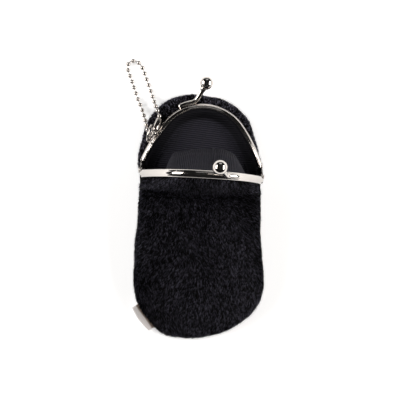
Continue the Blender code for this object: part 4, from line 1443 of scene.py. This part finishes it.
def torus(name, centre, axis, radius, wire, steps, sides, material):
    """Closed ring of round wire."""
    axis = axis.normalized()
    side = axis.orthogonal().normalized()
    other = axis.cross(side)
    vertices = []
    for step in range(steps):
        angle = 2.0 * math.pi * step / steps
        way = math.cos(angle) * side + math.sin(angle) * other
        for turn in range(sides):
            bend = 2.0 * math.pi * turn / sides
            reach = radius + wire * math.cos(bend)
            vertices.append(centre + reach * way + wire * math.sin(bend) * axis)
    faces = []
    for step in range(steps):
        nxt = (step + 1) % steps
        for turn in range(sides):
            after = (turn + 1) % sides
            corners = ((step, turn), (nxt, turn), (nxt, after), (step, after))
            faces.append(tuple(ring * sides + spot for ring, spot in corners))
    mesh = mesh_of(name, vertices, faces)
    face_outwards(mesh)
    mesh.shade_smooth()
    return add_object(name, mesh, material)


def rivet(name, side, material):
    """Pin through both ears with a domed head outside and a peened end inside."""
    inner = FRONT_EAR - 0.5 * EAR_THICKNESS - CLEARANCE
    span = BACK_EAR + 0.5 * EAR_THICKNESS + CLEARANCE - inner
    profile = []
    for share in (0.0, 0.35, 0.7, 0.92, 1.0):
        radius = max(0.01, 0.95 * share) * HEAD_RADIUS
        profile.append((radius, -0.6 * HEAD_HEIGHT * math.sqrt(1.0 - share**4)))
    profile += [(PIN_RADIUS, 0.0), (PIN_RADIUS, span), (HEAD_RADIUS * 0.98, span)]
    for share in (1.0, 0.92, 0.75, 0.5, 0.25, 0.01):
        dome = HEAD_HEIGHT * (0.06 + 0.94 * math.sqrt(1.0 - share**2))
        profile.append((share * HEAD_RADIUS, span + dome))
    centre = Vector((side * inner, 0.0, HINGE_HEIGHT))
    return loft_shell(name, lathe(centre, Vector((side, 0.0, 0.0)), profile, 36), material)


# Chain


def smooth_route(points, steps):
    """Catmull-Rom curve through points."""
    points = [2.0 * points[0] - points[1]] + points + [2.0 * points[-1] - points[-2]]
    route = []
    for before, start, end, after in zip(points, points[1:], points[2:], points[3:]):
        for step in range(steps):
            t = step / steps
            linear = (end - before) * t
            square = (2.0 * before - 5.0 * start + 4.0 * end - after) * t * t
            cube = (3.0 * start - before - 3.0 * end + after) * t**3
            route.append(start + 0.5 * (linear + square + cube))
    route.append(points[-2])
    return route


def chain_path(looks):
    """Route through the middle of the beads as a curve object, and its length."""
    upper, lower, way = connector_axis()
    inside = CHAIN_INSIDE * looks.bead_radius
    stops = [beside_eye(*stop) for stop in CHAIN_ROUTE]
    ends = [upper + inside * way, upper, *stops, lower, lower - inside * way]
    route = smooth_route(ends, CHAIN_STEPS)
    curve = bpy.data.curves.new("chain_path", "CURVE")
    curve.dimensions = "3D"
    spline = curve.splines.new("POLY")
    spline.points.add(len(route) - 1)
    for spot, point in zip(spline.points, route):
        spot.co = (point.x, point.y, max(point.z, looks.bead_radius), 1.0)
    return add_object("chain_path", curve), sum((b - a).length for a, b in zip(route, route[1:]))


def chain_tree(material):
    """Geometry nodes that string beads on a wire along a path."""
    tree, recipe, given = new_tree("bead_chain", ("Bead Radius", "Wire Radius"), ("Beads",))
    stops = recipe.node(
        "GeometryNodeCurveToPoints",
        {"Curve": given["Geometry"], "Count": given["Beads"]},
        mode="COUNT",
    ).outputs
    bead = recipe.node(
        "GeometryNodeMeshUVSphere", {"Segments": 20, "Rings": 14, "Radius": given["Bead Radius"]}
    )
    strung = recipe.node(
        "GeometryNodeInstanceOnPoints",
        {
            "Points": stops["Points"],
            "Instance": bead.outputs["Mesh"],
            "Rotation": stops["Rotation"],
        },
    )
    ring = recipe.node(
        "GeometryNodeCurvePrimitiveCircle", {"Resolution": 10, "Radius": given["Wire Radius"]}
    )
    wire = recipe.node(
        "GeometryNodeCurveToMesh",
        {"Curve": given["Geometry"], "Profile Curve": ring.outputs["Curve"], "Fill Caps": True},
    )
    both = recipe.node("GeometryNodeJoinGeometry")
    for part in (strung, wire):
        recipe.feed(both.inputs[0], part.outputs[0])
    close_tree(recipe, both.outputs[0], material, smooth=True)
    return tree


def connector(name, looks, material):
    """Barrel rolled from sheet, open in a slot along its upper side, with narrowed ends."""
    upper, lower, way = connector_axis()
    overhead = Vector((0.0, 0.0, 1.0))
    overhead = (overhead - overhead.dot(way) * way).normalized()
    across = way.cross(overhead)
    full = looks.bead_radius + CONNECTOR_GAP + CONNECTOR_WALL
    rings = []
    for along, share in CONNECTOR_PROFILE:
        centre, radius = upper.lerp(lower, along), share * full
        gap = math.asin(min(0.9, 0.5 * CONNECTOR_SLOT / radius))
        ring = []
        for step in range(CONNECTOR_STEPS + 1):
            angle = gap + 2.0 * (math.pi - gap) * step / CONNECTOR_STEPS
            ring.append(math.cos(angle) * overhead + math.sin(angle) * across)
        outer = [centre + radius * spot for spot in ring]
        rings.append(outer + [centre + (radius - CONNECTOR_WALL) * spot for spot in reversed(ring)])
    return loft_shell(name, rings, material)


# Label


def ribbon_side(half):
    """One side of the folded ribbon's section, from the seam round the fold and back."""
    run = LABEL_REACH - 0.5 * LABEL_THICKNESS
    line = [step / LABEL_STEPS * run for step in range(LABEL_STEPS + 1)]
    turns = [math.pi * step / FOLD_STEPS for step in range(1, FOLD_STEPS)]
    fold = [(run + half * math.sin(turn), half * math.cos(turn)) for turn in turns]
    return [(out, half) for out in line] + fold + [(out, -half) for out in reversed(line)]


def label(name, material):
    """Ribbon folded double, its fold standing out of the seam at the lower left."""
    low, high = LABEL_SPAN
    lefts = [(row[0], row[1]) for row in BODY]
    tops = [(row[0], row[3]) for row in BODY]
    stops = [low + (high - low) * step / RIBBON_STEPS for step in range(RIBBON_STEPS + 1)]
    outline = [
        Vector((-read_table(lefts, stop) * BAG_HALF_WIDTH, -stop * BAG_LENGTH)) for stop in stops
    ]
    run = (outline[-1] - outline[0]).normalized()
    outward = Vector((run.y, -run.x))
    half = 0.5 * LABEL_THICKNESS
    section = ribbon_side(half) + ribbon_side(half - LABEL_SHEET)[::-1]
    rings = []
    for number, (point, stop) in enumerate(zip(outline, stops)):
        height = SEAM_SHARE * read_table(tops, stop) * BAG_HEIGHT
        ring = []
        for out, rise in section:
            share = out / LABEL_REACH
            wave = LABEL_WAVE * math.sin(7.0 * number / RIBBON_STEPS + 1.0) * share
            spot = point + (LABEL_GAP - LABEL_ROOT * (1.0 - share) + out) * outward
            level = height + rise - LABEL_DROOP * share * share + wave
            ring.append(Vector((spot.x, spot.y, level)))
        rings.append(ring)
    piece = loft_shell(name, rings, material)
    mesh = piece.data
    layer = mesh.uv_layers.new(name="weave")
    for loop in mesh.loops:
        spot = mesh.vertices[loop.vertex_index].co
        flat = Vector((spot.x, spot.y)) - outline[0]
        layer.data[loop.index].uv = (flat.dot(run), flat.dot(outward))
    return piece


# Settings, operators and panel


def number_setting(name, description, default, **more):
    """Setting of a number."""
    return FloatProperty(name=name, description=description, default=default, **more)


def length_setting(name, description, default):
    """Setting of a length in metres."""
    return number_setting(name, description, default, unit="LENGTH")


def colour_setting(name, description, default):
    """Setting of a colour."""
    return FloatVectorProperty(name=name, description=description, default=default, subtype="COLOR")


class PurseLooks(bpy.types.PropertyGroup):
    """Sizes and colours of the purse's pieces."""

    pile_length: length_setting("Pile length", "Length of the plush's strands", 0.0018)
    pile_height: length_setting("Pile height", "How far the laid pile stands proud", 0.0001)
    pile_density: number_setting("Pile density", "Strands on a square metre", 8.5e6, min=0.0)
    strand_radius: length_setting("Strand radius", "Radius at a strand's root", 0.00016)
    pile_seed: IntProperty(
        name="Pile seed", description="Start of the strands' random places", default=7
    )
    plush_colour: colour_setting("Plush", "Colour of the plush", (0.0037, 0.0036, 0.0047))
    lining_colour: colour_setting("Lining", "Colour of the lining", (0.0222, 0.0216, 0.0295))
    rib_pitch: length_setting("Rib pitch", "Distance from rib to rib in the lining", 0.00105)
    metal_colour: colour_setting("Nickel", "Colour of the plated parts", (0.68, 0.64, 0.605))
    bead_radius: length_setting("Bead radius", "Radius of the chain's beads", 0.00115)
    bead_pitch: length_setting("Bead pitch", "Distance from bead to bead", 0.0031)
    wire_radius: length_setting("Wire radius", "Radius of the wire between the beads", 0.00022)
    label_colour: colour_setting("Label", "Colour of the blank label", (0.98, 0.92, 0.90))


class StageLooks(bpy.types.PropertyGroup):
    """Floor, lights and camera."""

    floor_colour: colour_setting("Floor", "Colour of the floor", (0.93, 0.93, 0.93))
    floor_glow: number_setting("Floor glow", "Light that the floor gives off", 0.54, min=0.0)
    side_light: number_setting("Side lights", "Power of each side light", 4.0, unit="POWER")
    fill_light: number_setting("Fill light", "Strength of the surroundings", 0.012, min=0.0)
    camera_height: length_setting("Camera height", "Height of the camera over the floor", 0.510)
    lens: number_setting("Lens", "Focal length in millimetres", 91.0, min=1.0)


class PURSE_OT_stage(bpy.types.Operator):
    """Make the floor, the lights and the camera"""

    bl_idname = "purse.stage"
    bl_label = "Stage"

    def execute(self, context):
        looks = context.scene.purse_stage
        scene = context.scene
        floor, recipe, shader = new_material("pale_floor")
        sockets = {
            "Base Color": opaque(looks.floor_colour),
            "Roughness": 0.9,
            "Specular IOR Level": 0.1,
            "Emission Color": (1.0, 1.0, 1.0, 1.0),
            "Emission Strength": looks.floor_glow,
        }
        coat(recipe, shader, sockets)
        dark, recipe, shader = new_material("dark_card")
        coat(recipe, shader, {"Base Color": (0.004, 0.004, 0.004, 1.0), "Roughness": 1.0})
        sheets = (
            ("floor", FLOOR, floor, (0, 1, 2, 3)),
            ("dark_card", DARK_CARD, dark, (0, 3, 2, 1)),
        )
        for name, (wide, deep, high), material, face in sheets:
            corners = [(x * wide, y * deep, high) for x, y in ((-1, -1), (1, -1), (1, 1), (-1, 1))]
            sheet = add_object(name, mesh_of(name, corners, [face]), material)
            sheet.visible_camera = name == "floor"

        for name, spot, wide, tall, share, tint in LIGHTS:
            lamp = bpy.data.lights.new(name, "AREA")
            lamp.shape = "RECTANGLE"
            lamp.size = wide
            lamp.size_y = tall
            lamp.energy = looks.side_light * share
            lamp.color = tint
            holder = add_object(name, lamp)
            holder.location = spot
            holder.rotation_euler = (LIGHT_AIM - Vector(spot)).to_track_quat("-Z", "Y").to_euler()

        world = bpy.data.worlds.new("surroundings")
        world.use_nodes = True
        shine = world.node_tree.nodes["Background"]
        shine.inputs["Color"].default_value = (1.0, 1.0, 1.0, 1.0)
        shine.inputs["Strength"].default_value = looks.fill_light
        scene.world = world
        scene.view_settings.view_transform = "Standard"
        scene.view_settings.look = "None"

        data = bpy.data.cameras.new("camera")
        data.lens = looks.lens
        data.sensor_width = 36.0
        data.clip_start = 0.01
        camera = add_object("camera", data)
        spot = Vector((*CAMERA_PLACE, looks.camera_height))
        ahead = (CAMERA_AIM - spot).normalized()
        right = ahead.cross(CAMERA_UP).normalized()
        turn = Matrix((right, right.cross(ahead), -ahead)).transposed().to_4x4()
        camera.matrix_world = Matrix.Translation(spot) @ turn
        scene.camera = camera
        return {"FINISHED"}


class PURSE_OT_frame(bpy.types.Operator):
    """Make both frame halves with their clasps, the chain eye and the rivets"""

    bl_idname = "purse.frame"
    bl_label = "Clasp frame"

    def execute(self, context):
        material = get_material("nickel_plate", context.scene.purse_looks)
        for half in ("back", "front"):
            pieces = [channel(half, material)]
            pieces += [ear(half, side, material) for side in (-1.0, 1.0)]
            pieces += clasp(half, material)
            if half == "back":
                pieces.append(torus("eye", *eye_place(), EYE_RADIUS, EYE_WIRE, 40, 14, material))
            whole = join(half + "_frame_metal", pieces, material)
            smooth_shade(whole.data, 38.0)
            finish_piece(whole, "nickel", half + "_frame")
        for side, name in ((-1.0, "left"), (1.0, "right")):
            pin = rivet("rivet_pin_" + name, side, material)
            smooth_shade(pin.data, 45.0)
            finish_piece(pin, "nickel", "rivet_" + name)
        return {"FINISHED"}


class PURSE_OT_chain(bpy.types.Operator):
    """Make the jump ring, the ball chain and its connector"""

    bl_idname = "purse.chain"
    bl_label = "Ball chain"

    def execute(self, context):
        looks = context.scene.purse_looks
        along, up = ring_axes()
        centre = eye_place()[0] + ring_reach()
        plated = get_material("nickel_plate", looks)
        ring = torus("ring_wire", centre, along.cross(up), RING_RADIUS, RING_WIRE, 72, 16, plated)
        finish_piece(ring, "nickel", "jump_ring")
        # The beads and the connector take the duller plate, darkened in colour as painted shade
        shaded_beads = get_material("shaded_bead_nickel", looks)
        path, run = chain_path(looks)
        sizes = {
            "Beads": round(run / looks.bead_pitch) + 1,
            "Bead Radius": looks.bead_radius,
            "Wire Radius": looks.wire_radius,
        }
        with_nodes(path, chain_tree(shaded_beads), sizes)
        finish_piece(plain(path, "bead_chain", shaded_beads), "nickel", "ball_chain")
        barrel = connector("connector_barrel", looks, shaded_beads)
        smooth_shade(barrel.data, 50.0)
        finish_piece(barrel, "nickel", "chain_connector")
        return {"FINISHED"}


class PURSE_OT_lining(bpy.types.Operator):
    """Make the two panels of the lining"""

    bl_idname = "purse.lining"
    bl_label = "Lining"

    def execute(self, context):
        material = get_material("rib_weave", context.scene.purse_looks)
        for side in ("back", "front"):
            panel = lining_panel("lining_cloth_" + side, side, material)
            finish_piece(panel, "ribbed_cloth", "lining_" + side)
        return {"FINISHED"}


class PURSE_OT_plush(bpy.types.Operator):
    """Make the plush's ground and its pile"""

    bl_idname = "purse.plush"
    bl_label = "Plush"

    def execute(self, context):
        looks = context.scene.purse_looks
        grid = plush_surface(looks)
        ground = get_material("plush_skin", looks)
        skin = add_object("plush_ground", skin_mesh("plush_ground", grid), ground)
        finish_piece(skin, "plush", "plush_back", "plush_front")

        comb = comb_field(grid)
        material = get_material("plush_pile", looks)
        tree = pile_tree(material)
        for number, (name, keep) in enumerate(pile_areas(grid).items()):
            bed = pile_bed(name, grid, comb, keep)
            short = FLAP_PILE_SHARE if name == "pile_flap" else 1.0
            values = {
                "Density": looks.pile_density,
                "Length": looks.pile_length * short,
                "Radius": looks.strand_radius,
                "Seed": looks.pile_seed + number,
            }
            with_nodes(bed, tree, {**PILE_LAY, **values})
            pile = plain(bed, name, material)
            lift_pile(pile.data)
            finish_piece(pile, "plush")
        return {"FINISHED"}


class PURSE_OT_label(bpy.types.Operator):
    """Make the blank folded label in the side seam"""

    bl_idname = "purse.label"
    bl_label = "Label"

    def execute(self, context):
        ribbon = label("label_ribbon", get_material("label_weave", context.scene.purse_looks))
        smooth_shade(ribbon.data, 60.0)
        finish_piece(ribbon, "ribbon", "seam_label")
        return {"FINISHED"}


OPERATORS = (
    PURSE_OT_stage,
    PURSE_OT_frame,
    PURSE_OT_chain,
    PURSE_OT_lining,
    PURSE_OT_plush,
    PURSE_OT_label,
)


class PURSE_PT_panel(bpy.types.Panel):
    """Pieces of the clasp purse"""

    bl_idname = "PURSE_PT_panel"
    bl_label = "Clasp Purse"
    bl_space_type = "VIEW_3D"
    bl_region_type = "UI"
    bl_category = "Clasp Purse"

    def draw(self, context):
        for group in (context.scene.purse_looks, context.scene.purse_stage):
            column = self.layout.column()
            for name in group.__annotations__:
                column.prop(group, name)
        for operator in OPERATORS:
            self.layout.operator(operator.bl_idname)


CLASSES = (PurseLooks, StageLooks) + OPERATORS + (PURSE_PT_panel,)


def register():
    for item in CLASSES:
        bpy.utils.register_class(item)
    bpy.types.Scene.purse_looks = PointerProperty(type=PurseLooks)
    bpy.types.Scene.purse_stage = PointerProperty(type=StageLooks)


def unregister():
    del bpy.types.Scene.purse_stage
    del bpy.types.Scene.purse_looks
    for item in reversed(CLASSES):
        bpy.utils.unregister_class(item)


def main():
    register()
    bpy.ops.purse.stage()
    bpy.ops.purse.frame()
    bpy.ops.purse.chain()
    bpy.ops.purse.lining()
    bpy.ops.purse.plush()
    bpy.ops.purse.label()


if __name__ == "__main__":
    main()
